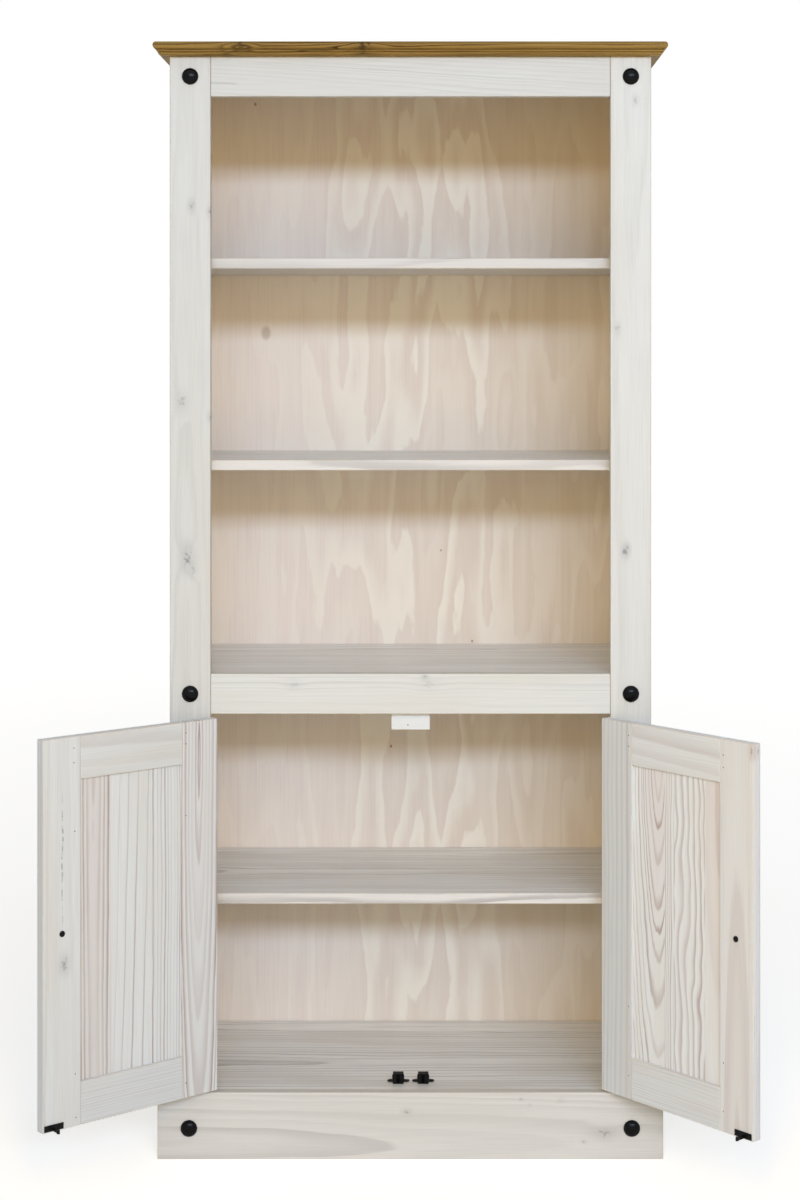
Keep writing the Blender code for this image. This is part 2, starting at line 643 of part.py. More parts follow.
def make_hinge(label, sign, row, under, pivot):
    """A butt hinge: the frame's leaf carries the pin, and the door's leaf turns on it."""
    inward = -sign
    top = under + HINGE_LENGTH
    low = under + (HINGE_LENGTH - KNUCKLE_LENGTH) / 2
    high = low + KNUCKLE_LENGTH
    axis = (sign * PIVOT_X, PIVOT_Y)
    frame_leaf = make_leaf(f"{label}_{row}_hinge_frame_leaf",
                           span(sign, HALF_OPENING, HALF_OPENING + LEAF_THICK), axis, FACE_Y,
                           under, ((under, low - FIT), (high + FIT, top)), None)
    middle = (under + top) / 2
    join_rod(frame_leaf, PIN_RADIUS, (*axis, middle - KNUCKLE_LENGTH),
             (*axis, middle + KNUCKLE_LENGTH))
    door_leaf = make_leaf(f"{label}_{row}_hinge_door_leaf",
                          span(inward, DOOR_NEAR, DOOR_NEAR + LEAF_THICK), (0, 0), DOOR_FRONT,
                          under, ((low, high),), pivot)
    drill(door_leaf, PIN_RADIUS + FIT, (0, 0, under - OVERCUT), (0, 0, top + OVERCUT))


def make_strike(label, inward, pivot):
    """A plate on the door's back with the spear that the catch's rollers grip."""
    x = inward * (PIVOT_X - CATCH_SPACING / 2)
    back = DOOR_REAR + FIT
    strike = board(f"{label}_strike", block(
        (x - STRIKE_WIDTH / 2, x + STRIKE_WIDTH / 2), (back, back + STRIKE_THICK),
        (STRIKE_UNDER, STRIKE_UNDER + STRIKE_HEIGHT)), "black_steel", pivot, ease=FIT)
    barb = DOOR_REAR + BARB_REACH
    half = [(SPEAR_NECK / 2, back + STRIKE_THICK / 2), (SPEAR_NECK / 2, barb - SPEAR_BARB),
            (SPEAR_HEAD / 2, barb), (SPEAR_TIP / 2, DOOR_REAR + SPEAR_REACH)]
    plan = half + [(-px, py) for px, py in reversed(half)]
    bm = bmesh.new()
    add_prism(bm, [Vector((x + px, py, SPEAR_UNDER)) - strike.location for px, py in plan],
              (0, 0, SPEAR_HEIGHT))
    combine(strike, bm, "UNION")


def make_door(label, sign, open_angle):
    inward = -sign
    pivot = bpy.data.objects.new(f"{label}_door_pivot", None)
    pivot.location = (sign * PIVOT_X, PIVOT_Y, 0)
    bpy.context.collection.objects.link(pivot)
    make_door_frame(label, inward, pivot)
    make_knob(label, inward, pivot)
    make_strike(label, inward, pivot)
    make_hinge(label, sign, "lower", LOWER_HINGE_Z, pivot)
    make_hinge(label, sign, "upper", UPPER_HINGE_Z, pivot)
    pivot.rotation_euler.z = sign * math.radians(open_angle)


# Catches

def make_catch(label, sign):
    """A channel with its mouth to the door, two fixed pins in it, and a round ear at each end."""
    x = sign * CATCH_SPACING / 2
    mouth = CATCH_Y + ROLLER_PROUD
    rear = CATCH_Y + CATCH_DEPTH
    top = CATCH_FLOOR + CATCH_HEIGHT
    inside = rear - CATCH_WALL
    section = ((mouth, CATCH_FLOOR), (rear, CATCH_FLOOR), (rear, top), (mouth, top),
               (mouth, top - CATCH_WALL), (inside, top - CATCH_WALL),
               (inside, CATCH_FLOOR + CATCH_WALL), (mouth, CATCH_FLOOR + CATCH_WALL))
    bm = bmesh.new()
    add_prism(bm, [(x - CATCH_WIDTH / 2, y, z) for y, z in section], (CATCH_WIDTH, 0, 0))
    catch = add_piece(f"{label}_catch", bm, "black_nylon")
    ear_y = rear + EAR_SETBACK
    round_x = (EARS_WIDTH - EAR_DEPTH) / 2
    radii = (EAR_DEPTH / 2, EAR_DEPTH / 2)
    plan = arc((x + round_x, ear_y), radii, -90, 90, 2 * DOME_STEPS)
    plan += arc((x - round_x, ear_y), radii, 90, 270, 2 * DOME_STEPS)
    bm = bmesh.new()
    add_prism(bm, [(px, py, CATCH_FLOOR) for px, py in plan], (0, 0, CATCH_WALL))
    combine(catch, bm, "UNION")
    for place in (-1, 1):
        hole_x = x + place * round_x
        drill(catch, EAR_HOLE_RADIUS, (hole_x, ear_y, CATCH_FLOOR - OVERCUT),
              (hole_x, ear_y, CATCH_FLOOR + OVERCUT))
        pin_x = x + place * ROLLER_OFFSET
        join_rod(catch, ROLLER_PIN_RADIUS, (pin_x, ROLLER_Y, CATCH_FLOOR + CATCH_WALL / 2),
                 (pin_x, ROLLER_Y, top - CATCH_WALL / 2))
        edge = "inner" if place == -sign else "outer"
        make_roller(f"{label}_catch_{edge}_roller", pin_x)


def make_roller(name, x):
    """A roller that turns on its pin between the catch's floor and roof."""
    tall = CATCH_HEIGHT - 2 * CATCH_WALL - 2 * FIT
    bore = ROLLER_PIN_RADIUS + FIT
    outline = ((bore, tall), (ROLLER_RADIUS - ROLLER_EASE, tall), (ROLLER_RADIUS, tall - ROLLER_EASE),
               (ROLLER_RADIUS, ROLLER_EASE), (ROLLER_RADIUS - ROLLER_EASE, 0), (bore, 0))
    bm = bmesh.new()
    add_turning(bm, outline, FACING_UP, hollow=True)
    shade_round(add_piece(name, bm, "black_nylon", (x, ROLLER_Y, CATCH_FLOOR + CATCH_WALL + FIT)))


def main():
    clear_scene()
    make_top()
    for label, sign in SIDES.items():
        make_side_panel(label, sign)
        make_face_stile(label, sign)
    for row, (under, height) in FACE_RAILS.items():
        make_face_rail(f"{row}_face_rail", under, height)
    make_fixed_boards()
    make_loose_shelf("high", HIGH_SHELF_TOP)
    make_loose_shelf("low", LOW_SHELF_TOP)
    make_loose_shelf("cupboard", CUPBOARD_SHELF_TOP)
    make_plinth()
    make_stop_block()
    make_studs()
    make_door("left", SIDES["left"], LEFT_DOOR_OPEN)
    make_door("right", SIDES["right"], RIGHT_DOOR_OPEN)
    for label, sign in SIDES.items():
        make_catch(label, sign)


main()
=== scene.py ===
# %% [markdown]
# # A waxed-pine bookcase with its cupboard open
# The object is a tall bookcase: white-waxed pine boards, a golden-brown moulded top, a plywood
# back, and black ironwork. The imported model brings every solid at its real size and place.
# What is left to do here is the looks: the camera and light of the photograph, the grain and
# wax on each board, and the small fasteners that a joiner would add last.

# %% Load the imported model
import json
import math
from typing import NamedTuple

import bmesh
import bpy
from mathutils import Matrix, Vector


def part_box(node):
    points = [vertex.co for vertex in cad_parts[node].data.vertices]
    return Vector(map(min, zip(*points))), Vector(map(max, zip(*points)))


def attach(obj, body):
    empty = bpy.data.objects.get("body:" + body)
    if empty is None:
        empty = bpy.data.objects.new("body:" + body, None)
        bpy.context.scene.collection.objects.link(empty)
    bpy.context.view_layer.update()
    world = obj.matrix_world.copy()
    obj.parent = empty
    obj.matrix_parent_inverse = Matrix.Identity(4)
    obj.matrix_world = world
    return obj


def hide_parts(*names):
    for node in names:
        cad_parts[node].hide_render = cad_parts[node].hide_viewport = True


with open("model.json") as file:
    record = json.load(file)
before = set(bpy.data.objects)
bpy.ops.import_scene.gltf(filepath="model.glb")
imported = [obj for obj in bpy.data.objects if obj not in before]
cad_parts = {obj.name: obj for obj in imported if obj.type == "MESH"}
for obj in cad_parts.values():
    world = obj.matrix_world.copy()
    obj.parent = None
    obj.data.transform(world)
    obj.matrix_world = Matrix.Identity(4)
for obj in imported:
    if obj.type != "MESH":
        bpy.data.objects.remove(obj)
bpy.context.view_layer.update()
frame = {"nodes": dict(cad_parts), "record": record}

# %% [markdown]
# ## Camera
# In the photograph every upright stays upright, so the camera looked dead level. A tilted
# camera would make the sides lean. Instead the frame is shifted down and aside, as with a shift
# lens. The lens axis was found from the shelf edges that run into the depth of the case. The
# distance was chosen so that the case comes out as deep as such bookcases are, and the focal
# length follows from it.

# %% Camera
PHOTO_WIDTH, PHOTO_HEIGHT = 800, 1200
SENSOR_WIDTH = 36  # millimetres
FOCAL_PIXELS = 2248
AXIS_PIXEL = (438, 350)  # where the lens axis meets the picture
CAMERA_X, CAMERA_Z = 0.0465, 1.3612
CAMERA_DISTANCE = 3.80  # in front of the face frame

front_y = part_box("middle_face_rail")[0].y
camera_data = bpy.data.cameras.new("camera")
camera_data.sensor_width = SENSOR_WIDTH
camera_data.lens = SENSOR_WIDTH * FOCAL_PIXELS / PHOTO_HEIGHT
camera_data.shift_x = (PHOTO_WIDTH / 2 - AXIS_PIXEL[0]) / PHOTO_HEIGHT
camera_data.shift_y = (AXIS_PIXEL[1] - PHOTO_HEIGHT / 2) / PHOTO_HEIGHT
camera = bpy.data.objects.new("camera", camera_data)
camera.location = (CAMERA_X, front_y - CAMERA_DISTANCE, CAMERA_Z)
camera.rotation_euler = (math.radians(90), 0, 0)
scene = bpy.context.scene
scene.collection.objects.link(camera)
scene.camera = camera
scene.view_settings.view_transform = "Standard"
print("lens", round(camera_data.lens, 1), "mm, shift", round(camera_data.shift_x, 4),
      round(camera_data.shift_y, 4))

# %% [markdown]
# ## Helpers for every finish
# Colours are easiest to read as the hex codes of a paint chart, but a renderer adds light in
# linear values, so one function converts them. Another adds a node to a material, with its
# settings and its links in one call. Sums and changes of range come up all the time, so these
# two get a short name each, and every finish can be read from top to bottom.

# %% Colour and node helpers
def linear(code):
    """A hex colour of the sRGB chart as linear red, green, blue and alpha."""
    parts = [int(code[i:i + 2], 16) / 255 for i in (1, 3, 5)]
    return [p / 12.92 if p <= 0.04045 else ((p + 0.055) / 1.055) ** 2.4 for p in parts] + [1.0]


def add_node(tree, kind, plugs, **settings):
    """Add a shader node; plugs gives its sockets a value or a link. Returns its outputs."""
    node = tree.nodes.new("ShaderNode" + kind)
    for name, value in settings.items():
        setattr(node, name, value)
    for socket, value in plugs.items():
        if isinstance(value, bpy.types.NodeSocket):
            tree.links.new(value, node.inputs[socket])
        else:
            node.inputs[socket].default_value = value
    return node.outputs


def compute(tree, operation, *terms):
    """One sum, by the Math node's name for it."""
    return add_node(tree, "Math", dict(enumerate(terms)), operation=operation)[0]


def remap(tree, value, source, target, smooth=False):
    """Carry a value from its source range over to the target range, and stop at its ends."""
    sockets = {"Value": value, 1: source[0], 2: source[1], 3: target[0], 4: target[1]}
    return add_node(tree, "MapRange", sockets,
                    interpolation_type="SMOOTHSTEP" if smooth else "LINEAR")[0]


print("mid grey is", round(linear("#808080")[0], 3))

# %% [markdown]
# ## Light and floor
# A bank of cool studio lamps hangs far off in front, above the bookcase. It is not tall but very
# wide: each shelf throws a shadow a hand's breadth down the back panel, while uprights throw
# hardly any. A tall, narrow warm reflector in front of the bookcase fills those shadows, which is
# why they look tan and not grey, and a large soft light from above reaches the tops of the
# shelves. The room itself is brighter behind the object, where no lamp stands. The background is
# white only to the camera, in reflections and through clear things, so it adds no light of its own.

# %% Room light
ROOM_LEVEL = (0.16, 0.50)  # from the front and from behind
ROOM_TURN = (-0.3, 0.5)  # where between front, -1, and back, 1, the level changes
ROOM_TINT = "#FFF8EF"

world = bpy.data.worlds.new("white room")
scene.world = world
world.use_nodes = True
room = world.node_tree
room.nodes.clear()
rays = add_node(room, "LightPath", {})
seen = compute(room, "MAXIMUM", rays["Is Camera Ray"], rays["Is Glossy Ray"])
seen = compute(room, "MAXIMUM", seen, rays["Is Transmission Ray"])
towards = add_node(room, "TexCoord", {})["Generated"]
towards = add_node(room, "SeparateXYZ", {0: towards})[1]
level = remap(room, towards, ROOM_TURN, ROOM_LEVEL)
soft = add_node(room, "Background", {"Color": linear(ROOM_TINT), "Strength": level})[0]
white = add_node(room, "Background", {"Color": linear("#FFFFFF"), "Strength": 1.0})[0]
mixed = add_node(room, "MixShader", {0: seen, 1: soft, 2: white})[0]
add_node(room, "OutputWorld", {"Surface": mixed})
print("room light at", ROOM_LEVEL)

# %% Studio lamps
LAMPS = {  # place, aim, width and height in metres, watts, colour
    "lamp bank": ((1.5, -10.2, 4.40), (0.0, 0.2, 0.9), (8.0, 1.2), 660, "#C5DDFF"),
    "warm reflector": ((0.03, -2.4, 1.38), (0.0, 0.2, 0.9), (0.36, 2.3), 24, "#FFD068"),
}
MIRRORED = ("lamp bank",)  # lamps whose image shows in glossy finishes
SOFT_LEVEL, SOFT_SPREAD, SOFT_TILT = 0.58, 70, 44  # strength, and degrees wide and off the plumb
SOFT_TINT = "#EBF3FF"

for name, (place, aim, size, watts, colour) in LAMPS.items():
    lamp_data = bpy.data.lights.new(name, "AREA")
    lamp_data.shape = "ELLIPSE"
    lamp_data.size, lamp_data.size_y = size
    lamp_data.energy = watts
    lamp_data.color = linear(colour)[:3]
    lamp = bpy.data.objects.new(name, lamp_data)
    lamp.location = place
    lamp.rotation_euler = (Vector(aim) - Vector(place)).to_track_quat("-Z", "Y").to_euler()
    lamp.visible_camera = False
    lamp.visible_glossy = name in MIRRORED
    scene.collection.objects.link(lamp)
    print(name, watts, "W")

sky_data = bpy.data.lights.new("soft light from above", "SUN")
sky_data.energy = SOFT_LEVEL
sky_data.color = linear(SOFT_TINT)[:3]
sky_data.angle = math.radians(SOFT_SPREAD)
sky = bpy.data.objects.new("soft light from above", sky_data)
sky.rotation_euler = (math.radians(SOFT_TILT), 0, 0)
scene.collection.objects.link(sky)

# %% Floor
FLOOR_SIZE = 60
FLOOR_TONE, FLOOR_ROUGHNESS = "#E8E8E5", 0.9
FLOOR_GLOW = (0.50, 0.70)  # makes up to white what the lamps leave pale, near by and far off
FLOOR_FADE = (1.0, 7.0)  # metres from the object between which the glow rises


def new_finish(name):
    """A new material with its node tree and its shader."""
    material = bpy.data.materials.new(name)
    material.use_nodes = True
    return material, material.node_tree, material.node_tree.nodes["Principled BSDF"]


bpy.ops.object.select_all(action="DESELECT")
bpy.ops.mesh.primitive_plane_add(size=FLOOR_SIZE, location=(0, 0, 0))
floor = bpy.context.object
floor.name = "studio_floor"
paper, tree, shader = new_finish("white studio paper")
shader.inputs["Base Color"].default_value = linear(FLOOR_TONE)
shader.inputs["Roughness"].default_value = FLOOR_ROUGHNESS
shader.inputs["Specular IOR Level"].default_value = 0.0
rays = add_node(tree, "LightPath", {})
seen = compute(tree, "MAXIMUM", rays["Is Camera Ray"], rays["Is Glossy Ray"])
place = add_node(tree, "TexCoord", {})["Object"]
away = add_node(tree, "VectorMath", {0: place}, operation="LENGTH")["Value"]
glow = compute(tree, "MULTIPLY", seen, remap(tree, away, FLOOR_FADE, FLOOR_GLOW))
shader.inputs["Emission Color"].default_value = linear("#FFFFFF")
tree.links.new(glow, shader.inputs["Emission Strength"])
floor.data.materials.append(paper)
print("floor", FLOOR_SIZE, "m wide")

# %% [markdown]
# ## How the grain lies in a board
# A board is a slice of a tree, so the lines on it are the tree's rings, cut open. If a finish
# works out the distance to the heart of the tree at each point, then faces, edges and end
# grain all agree, as they do in real wood. Each board needs its own frame for that: across
# its width, through its thickness, and along its grain, in millimetres from its middle. The
# doors stand open, so their frame is turned back to the shut position first.

# %% Directions of the grain
MM = 1000  # millimetres in a metre
LAYS = {  # rows: across the board, through it, along the grain
    "upright": ((1, 0, 0), (0, 1, 0), (0, 0, 1)),
    "rail": ((0, 0, 1), (0, -1, 0), (1, 0, 0)),
    "shelf": ((0, 1, 0), (0, 0, 1), (1, 0, 0)),
    "side": ((0, 1, 0), (-1, 0, 0), (0, 0, 1)),
    "return": ((0, 0, 1), (1, 0, 0), (0, 1, 0)),
}
shut_turn, pivot = {"case": Matrix.Identity(4)}, {}
for joint in frame["record"]["behaviour"]["joints"]:
    if "range_deg" in joint:
        pivot[joint["child"]] = Vector(joint["pos_m"])
        shut_turn[joint["child"]] = Matrix.Rotation(
            math.radians(joint["range_deg"][0] * joint["axis"][2]), 4, "Z")


def board_frame(tree, node, lay, body):
    """Millimetres across, through and along the board from its middle, and half its size."""
    rows = Matrix(LAYS[lay]) @ shut_turn[body].to_3x3()
    corners = [rows @ vertex.co * MM for vertex in frame["nodes"][node].data.vertices]
    low, high = ([pick(c[i] for c in corners) for i in range(3)] for pick in (min, max))
    middle, half = (Vector(low) + Vector(high)) / 2, (Vector(high) - Vector(low)) / 2
    place = add_node(tree, "TexCoord", {})["Object"]
    return add_node(tree, "Mapping", {"Vector": place, "Scale": (MM, MM, MM),
                                      "Rotation": rows.to_euler(), "Location": -middle})[0], half


print("doors that turn:", list(pivot))

# %% [markdown]
# ## Growth rings
# Pine has wide pale spring growth and a narrow darker line where each summer ended. The ring
# number is the distance from the heart divided by a year's growth, pushed about by slow noise,
# and by quick waves where the figure is curly. Good and bad years make the rings uneven, and each
# summer line gets its own strength. A board that leans against the heart shows nested arches.
# Wide panels are glued from several staves, each with a heart of its own.

# %% Staves
class Stave(NamedTuple):
    """One strip of wood, in millimetres; it starts at start across the board."""
    heart: tuple = (0, 60)  # where the tree's middle lies, across and behind
    ring: float = 5.0
    lean: float = 0.0  # degrees; below zero the arches point down
    sway: float = 6.0
    lines: float = 0.6
    blush: float = 0.3
    late: float = 0.35  # share of the year when the line begins to darken
    slant: float = 0.0  # degrees that the lines run off the board's length
    start: float = -1e4
    ripple: float = 0.0  # how far quick waves push the lines to and fro


def stretch(tree, vector, factors):
    """Multiply the three parts of a vector."""
    return add_node(tree, "VectorMath", {0: vector, 1: factors}, operation="MULTIPLY")[0]


def noise(tree, place, waves, detail):
    """Soft noise from 0 to 1; waves counts its waves per millimetre, each way."""
    return add_node(tree, "TexNoise", {"Vector": stretch(tree, place, waves), "Scale": 1.0,
                                       "Detail": detail})[0]


print("a year grows", Stave().ring, "mm unless a stave says otherwise")

# %% Growth rings
SLOW = (1 / 70, 1 / 70, 1 / 420)  # one slow wave per this many millimetres
QUICK = (1 / 60, 1 / 60, 1 / 110)
UNEVEN_YEARS = 5  # good and bad years come in runs of about this length
UNEVEN_SHARE = 2.6
SUMMER_END = 0.87  # share of the year after which the line stops short
FAINTEST_LINE = 0.2  # beside the strongest one of the same stave
HEARTWOOD = (8, 55)  # millimetres from the heart between which the pink fades out
TREE_STEP, YEAR_STEP = 900, 17  # per seed, along the trunk and in years, so no two boards match


def growth_rings(tree, board, push, stave, seed):
    """How strongly the summer line and the pink heartwood show at each point of a stave."""
    trunk = add_node(tree, "Mapping", {
        "Vector": board, "Rotation": (math.radians(stave.lean), math.radians(stave.slant), 0),
        "Location": (-stave.heart[0], -stave.heart[1], TREE_STEP * seed)})[0]
    drift = add_node(tree, "TexNoise", {"Vector": stretch(tree, trunk, SLOW), "Scale": 1.0,
                                        "Detail": 2.0, "Roughness": 0.45})["Color"]
    drift = add_node(tree, "VectorMath", {
        0: drift, 1: (2 * stave.sway, 2 * stave.sway, 0), 2: (-stave.sway, -stave.sway, 0)},
        operation="MULTIPLY_ADD")[0]
    bent = add_node(tree, "VectorMath", {0: trunk, 1: drift}, operation="ADD")[0]
    bent = stretch(tree, bent, (1, 1, 0))
    radius = add_node(tree, "VectorMath", {0: bent}, operation="LENGTH")["Value"]
    radius = compute(tree, "ADD", radius, push)
    if stave.ripple:
        quick = noise(tree, trunk, QUICK, 1.0)
        radius = compute(tree, "MULTIPLY_ADD", quick, stave.ripple, radius)
    rings = compute(tree, "DIVIDE", radius, stave.ring)
    years = add_node(tree, "TexNoise", {"W": rings, "Scale": 1 / UNEVEN_YEARS, "Detail": 1.0},
                     noise_dimensions="1D")[0]
    rings = compute(tree, "MULTIPLY_ADD", years, UNEVEN_SHARE, rings)
    year = compute(tree, "FLOOR", compute(tree, "ADD", rings, YEAR_STEP * seed))
    luck = add_node(tree, "TexWhiteNoise", {"W": year}, noise_dimensions="1D")["Value"]
    luck = remap(tree, luck, (0, 1), (FAINTEST_LINE * stave.lines, stave.lines))
    season = compute(tree, "FRACT", rings)
    summer = remap(tree, season, (stave.late, SUMMER_END), (0, 1), smooth=True)
    autumn = remap(tree, season, (SUMMER_END, 1), (1, 0), smooth=True)
    line = compute(tree, "MULTIPLY", compute(tree, "MULTIPLY", summer, autumn), luck)
    pink = remap(tree, radius, HEARTWOOD, (stave.blush, 0), smooth=True)
    return line, pink


print("a run of years is", UNEVEN_YEARS, "rings")

# %% [markdown]
# ## Knots, pith and wear
# A knot is a branch cut through: a dark core with a crumbled rim, and lines that swerve round it.
# The pith is the tree's first shoot, and it cracks where the saw lays it open. Both could be
# dents in the mesh, but a planed and waxed face is flat there, so colour alone draws them: each
# is a distance, to a point or to a line, made ragged by noise. Where hands and dusters rub the
# corners of a board, the wax wears thin and the warm wood shows.

# %% Knots
CRUMB = (1 / 5, 1 / 5, 1 / 6)  # waves per millimetre on the ragged rim of a knot
KNOT_SQUASH = 0.6  # a knot is longer along the grain than across it
KNOT_SWERVE, KNOT_BULGE = 4, 0.5  # lines swerve this near, by this much, in sizes of the knot
KNOT_RIM, KNOT_CRUMBLE = (1.5, 2.6), 3.2  # the core fades over its rim, which crumbles
KNOT_STAIN = 0.3  # of the core's depth


def distance(tree, place, centre):
    """How far each place lies from a centre."""
    return add_node(tree, "VectorMath", {0: place, 1: centre}, operation="DISTANCE")["Value"]


def blend(tree, share, under, over):
    """Lay one colour over another by a share from 0 to 1."""
    return add_node(tree, "Mix", {0: share, 6: under, 7: over}, data_type="RGBA")[2]


def near_knots(tree, board, knots):
    """Each knot's distance from each point, its size and its depth."""
    face = stretch(tree, board, (1, 0, KNOT_SQUASH))
    return [(distance(tree, face, (across, 0, KNOT_SQUASH * along)), size, depth)
            for across, along, size, depth in knots]


def stain_knots(tree, tone, dark, board, near):
    """Darken the core of each knot, ragged at its rim, and the wood round it."""
    crumb = noise(tree, board, CRUMB, 3.0)
    for gap, size, depth in near:
        rim = [share * size for share in KNOT_RIM]
        ragged = compute(tree, "MULTIPLY_ADD", crumb, KNOT_CRUMBLE * size, gap)
        core = remap(tree, ragged, rim, (depth, 0), smooth=True)
        stain = remap(tree, gap, (0, rim[1]), (KNOT_STAIN * depth, 0), smooth=True)
        tone = blend(tree, compute(tree, "MAXIMUM", core, stain), tone, dark)
    return tone


print("lines swerve", KNOT_SWERVE, "sizes off a knot")

# %% Pith and worn corners
PITH_WANDER, PITH_WIDTH, PITH_DEPTH = 7.0, (0.2, 1.3), 0.75
PITH_PIECE, PITH_GAPS, PITH_FADES = 14, (0.42, 0.55), (25, 60)  # broken up, and faded at its ends
WEAR_WIDTH = 2.4  # millimetres from an arris
WEAR_FADE, WEAR_SHARE = (-0.3, 0.7), 0.6  # in widths from untouched to bare


def pith_crack(tree, tone, grey, across, along, jag, pith):
    """A broken grey crack where the saw met the pith of the tree."""
    place, low, high = pith
    off = compute(tree, "MULTIPLY_ADD", jag, PITH_WANDER, across)
    off = compute(tree, "ABSOLUTE", compute(tree, "SUBTRACT", off, place + PITH_WANDER / 2))
    crack = remap(tree, off, PITH_WIDTH, (PITH_DEPTH, 0))
    broken = add_node(tree, "TexNoise", {"W": along, "Scale": 1 / PITH_PIECE, "Detail": 3.0},
                      noise_dimensions="1D")[0]
    for limit in (remap(tree, broken, PITH_GAPS, (0, 1)),
                  remap(tree, along, (low, low + PITH_FADES[0]), (0, 1)),
                  remap(tree, along, (high - PITH_FADES[1], high), (1, 0))):
        crack = compute(tree, "MULTIPLY", crack, limit)
    return blend(tree, crack, tone, grey)


def worn_corners(tree, tone, bare, board, half, jag):
    """Let the bare wood through along the arrises, where two faces of the board meet."""
    reach = add_node(tree, "VectorMath", {0: board}, operation="ABSOLUTE")[0]
    reach = add_node(tree, "VectorMath", {0: reach, 1: half}, operation="SUBTRACT")[0]
    x, y, z = add_node(tree, "SeparateXYZ", {0: reach})
    pairs = [compute(tree, "MINIMUM", a, b) for a, b in ((x, y), (y, z), (x, z))]
    arris = compute(tree, "MAXIMUM", compute(tree, "MAXIMUM", *pairs[:2]), pairs[2])
    arris = compute(tree, "MULTIPLY_ADD", jag, WEAR_WIDTH, arris)
    worn = remap(tree, arris, [share * WEAR_WIDTH for share in WEAR_FADE], (0, WEAR_SHARE))
    return blend(tree, worn, tone, bare)


print("corners are worn", WEAR_WIDTH, "mm wide")

# %% [markdown]
# ## White-waxed pine
# White wax rubbed over planed pine hides most of the yellow and leaves the summer lines as a
# pinkish shadow; knots come out grey. A sheet of painted lines could copy one board only, so
# the finish is worked out from the rings, and each board gets its own tree.

# %% The waxed finish
WHITE_WAX = {"spring": "#DEE3E4", "summer": "#A99A97", "heart": "#D0C0BE", "fibre": "#CECFCE",
             "warm": "#DADAD5", "knot": "#8C8F92", "bare": "#CDB493"}
JAG = (1 / 8, 1 / 8, 1 / 45)  # waves per millimetre, as in the next two
FIBRE = (1 / 1.8, 1 / 1.8, 1 / 110)  # real fibres are finer; these are as fine as shows
CLOUD = (1 / 45, 1 / 45, 1 / 380)
CLOUD_STEP = (3.1, 0, 7.7)  # per seed
JAG_DEPTH = 1.0
STAVE_STEP = 0.37  # of a seed, from stave to stave
USUAL = (0.3, 0.7)  # the range that a noise seldom leaves
THICK_WAX = ((0.35, 0.65), (1.0, 0.5))  # cloud to what thick wax leaves of the lines
STREAKS = ((0.42, 0.75), (0.0, 0.55))  # fibre to how much of its colour shows
PATCHES = ((0.45, 0.70), (0.0, 0.7))  # cloud to how warm a patch is
LIT_TOP_DEPTH = 0.5  # millimetres below the upper face
LINE_RELIEF = 0.5  # beside the fibres' own


def choose(tree, share, first, second):
    """The first number where the share is 0, and the second where it is 1."""
    return add_node(tree, "Mix", {0: share, 2: first, 3: second})[0]


def dress(node, material):
    """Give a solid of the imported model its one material."""
    frame["nodes"][node].data.materials.clear()
    frame["nodes"][node].data.materials.append(material)


def waxed_pine(node, lay, *staves, wax=WHITE_WAX, pale=1.0, gloss=(0.42, 0.60), shine=0.5,
               body="case", knots=(), pith=None, seed=0.0):
    """Wax one board; pale scales all its colours: partly how white the wax dried, partly painted
    light and shade.

    gloss is its range of roughness, and shine how strongly it mirrors the room.
    Knots: across, along, size and depth; pith: across, from, to along.
    """
    tones = {name: [pale * part for part in linear(code)[:3]] + [1.0] for name, code in wax.items()}
    material, tree, shader = new_finish(f"waxed pine, {node}")
    board, half = board_frame(tree, node, lay, body)
    across, through, along = add_node(tree, "SeparateXYZ", {0: board})
    jag = noise(tree, board, JAG, 2.0)
    push = remap(tree, jag, (0, 1), (-JAG_DEPTH, JAG_DEPTH))
    near = near_knots(tree, board, knots)
    for gap, size, _ in near:
        bulge = remap(tree, gap, (0, KNOT_SWERVE * size), (KNOT_BULGE * size, 0), smooth=True)
        push = compute(tree, "ADD", push, bulge)
    line, pink = growth_rings(tree, board, push, staves[0], seed)
    for number, stave in enumerate(staves[1:], 1):
        beyond = compute(tree, "GREATER_THAN", across, stave.start)
        next_line, next_pink = growth_rings(tree, board, push, stave, seed + STAVE_STEP * number)
        line = choose(tree, beyond, line, next_line)
        pink = choose(tree, beyond, pink, next_pink)
    fibre = noise(tree, board, FIBRE, 3.0)
    wide = add_node(tree, "Mapping", {"Vector": board, "Scale": CLOUD,
                                      "Location": [step * seed for step in CLOUD_STEP]})[0]
    cloud = add_node(tree, "TexNoise", {"Vector": wide, "Scale": 1.0, "Detail": 1.0})[0]
    line = compute(tree, "MULTIPLY", line, remap(tree, cloud, *THICK_WAX))
    tone = blend(tree, pink, tones["spring"], tones["heart"])
    # Painted light: the upper face of a flat board gets a whiter colour of its own, as if more
    # light fell on it from above.
    if "painted_lit_top" in tones:
        upper = compute(tree, "GREATER_THAN", through, half.y - LIT_TOP_DEPTH)
        tone = blend(tree, upper, tone, tones["painted_lit_top"])
    tone = blend(tree, remap(tree, cloud, *PATCHES), tone, tones["warm"])
    tone = blend(tree, remap(tree, fibre, *STREAKS), tone, tones["fibre"])
    tone = blend(tree, line, tone, tones["summer"])
    if near:
        tone = stain_knots(tree, tone, tones["knot"], board, near)
    if pith:
        tone = pith_crack(tree, tone, tones["knot"], across, along, jag, pith)
    tone = worn_corners(tree, tone, tones["bare"], board, half, jag)
    tree.links.new(tone, shader.inputs["Base Color"])
    tree.links.new(remap(tree, fibre, USUAL, gloss), shader.inputs["Roughness"])
    shader.inputs["Specular IOR Level"].default_value = shine
    relief = compute(tree, "MULTIPLY_ADD", line, LINE_RELIEF, fibre)
    bump = add_node(tree, "Bump", {"Height": relief, "Strength": 0.2, "Distance": 0.1 / MM})[0]
    tree.links.new(bump, shader.inputs["Normal"])
    dress(node, material)


print("a wax has", len(WHITE_WAX), "colours")
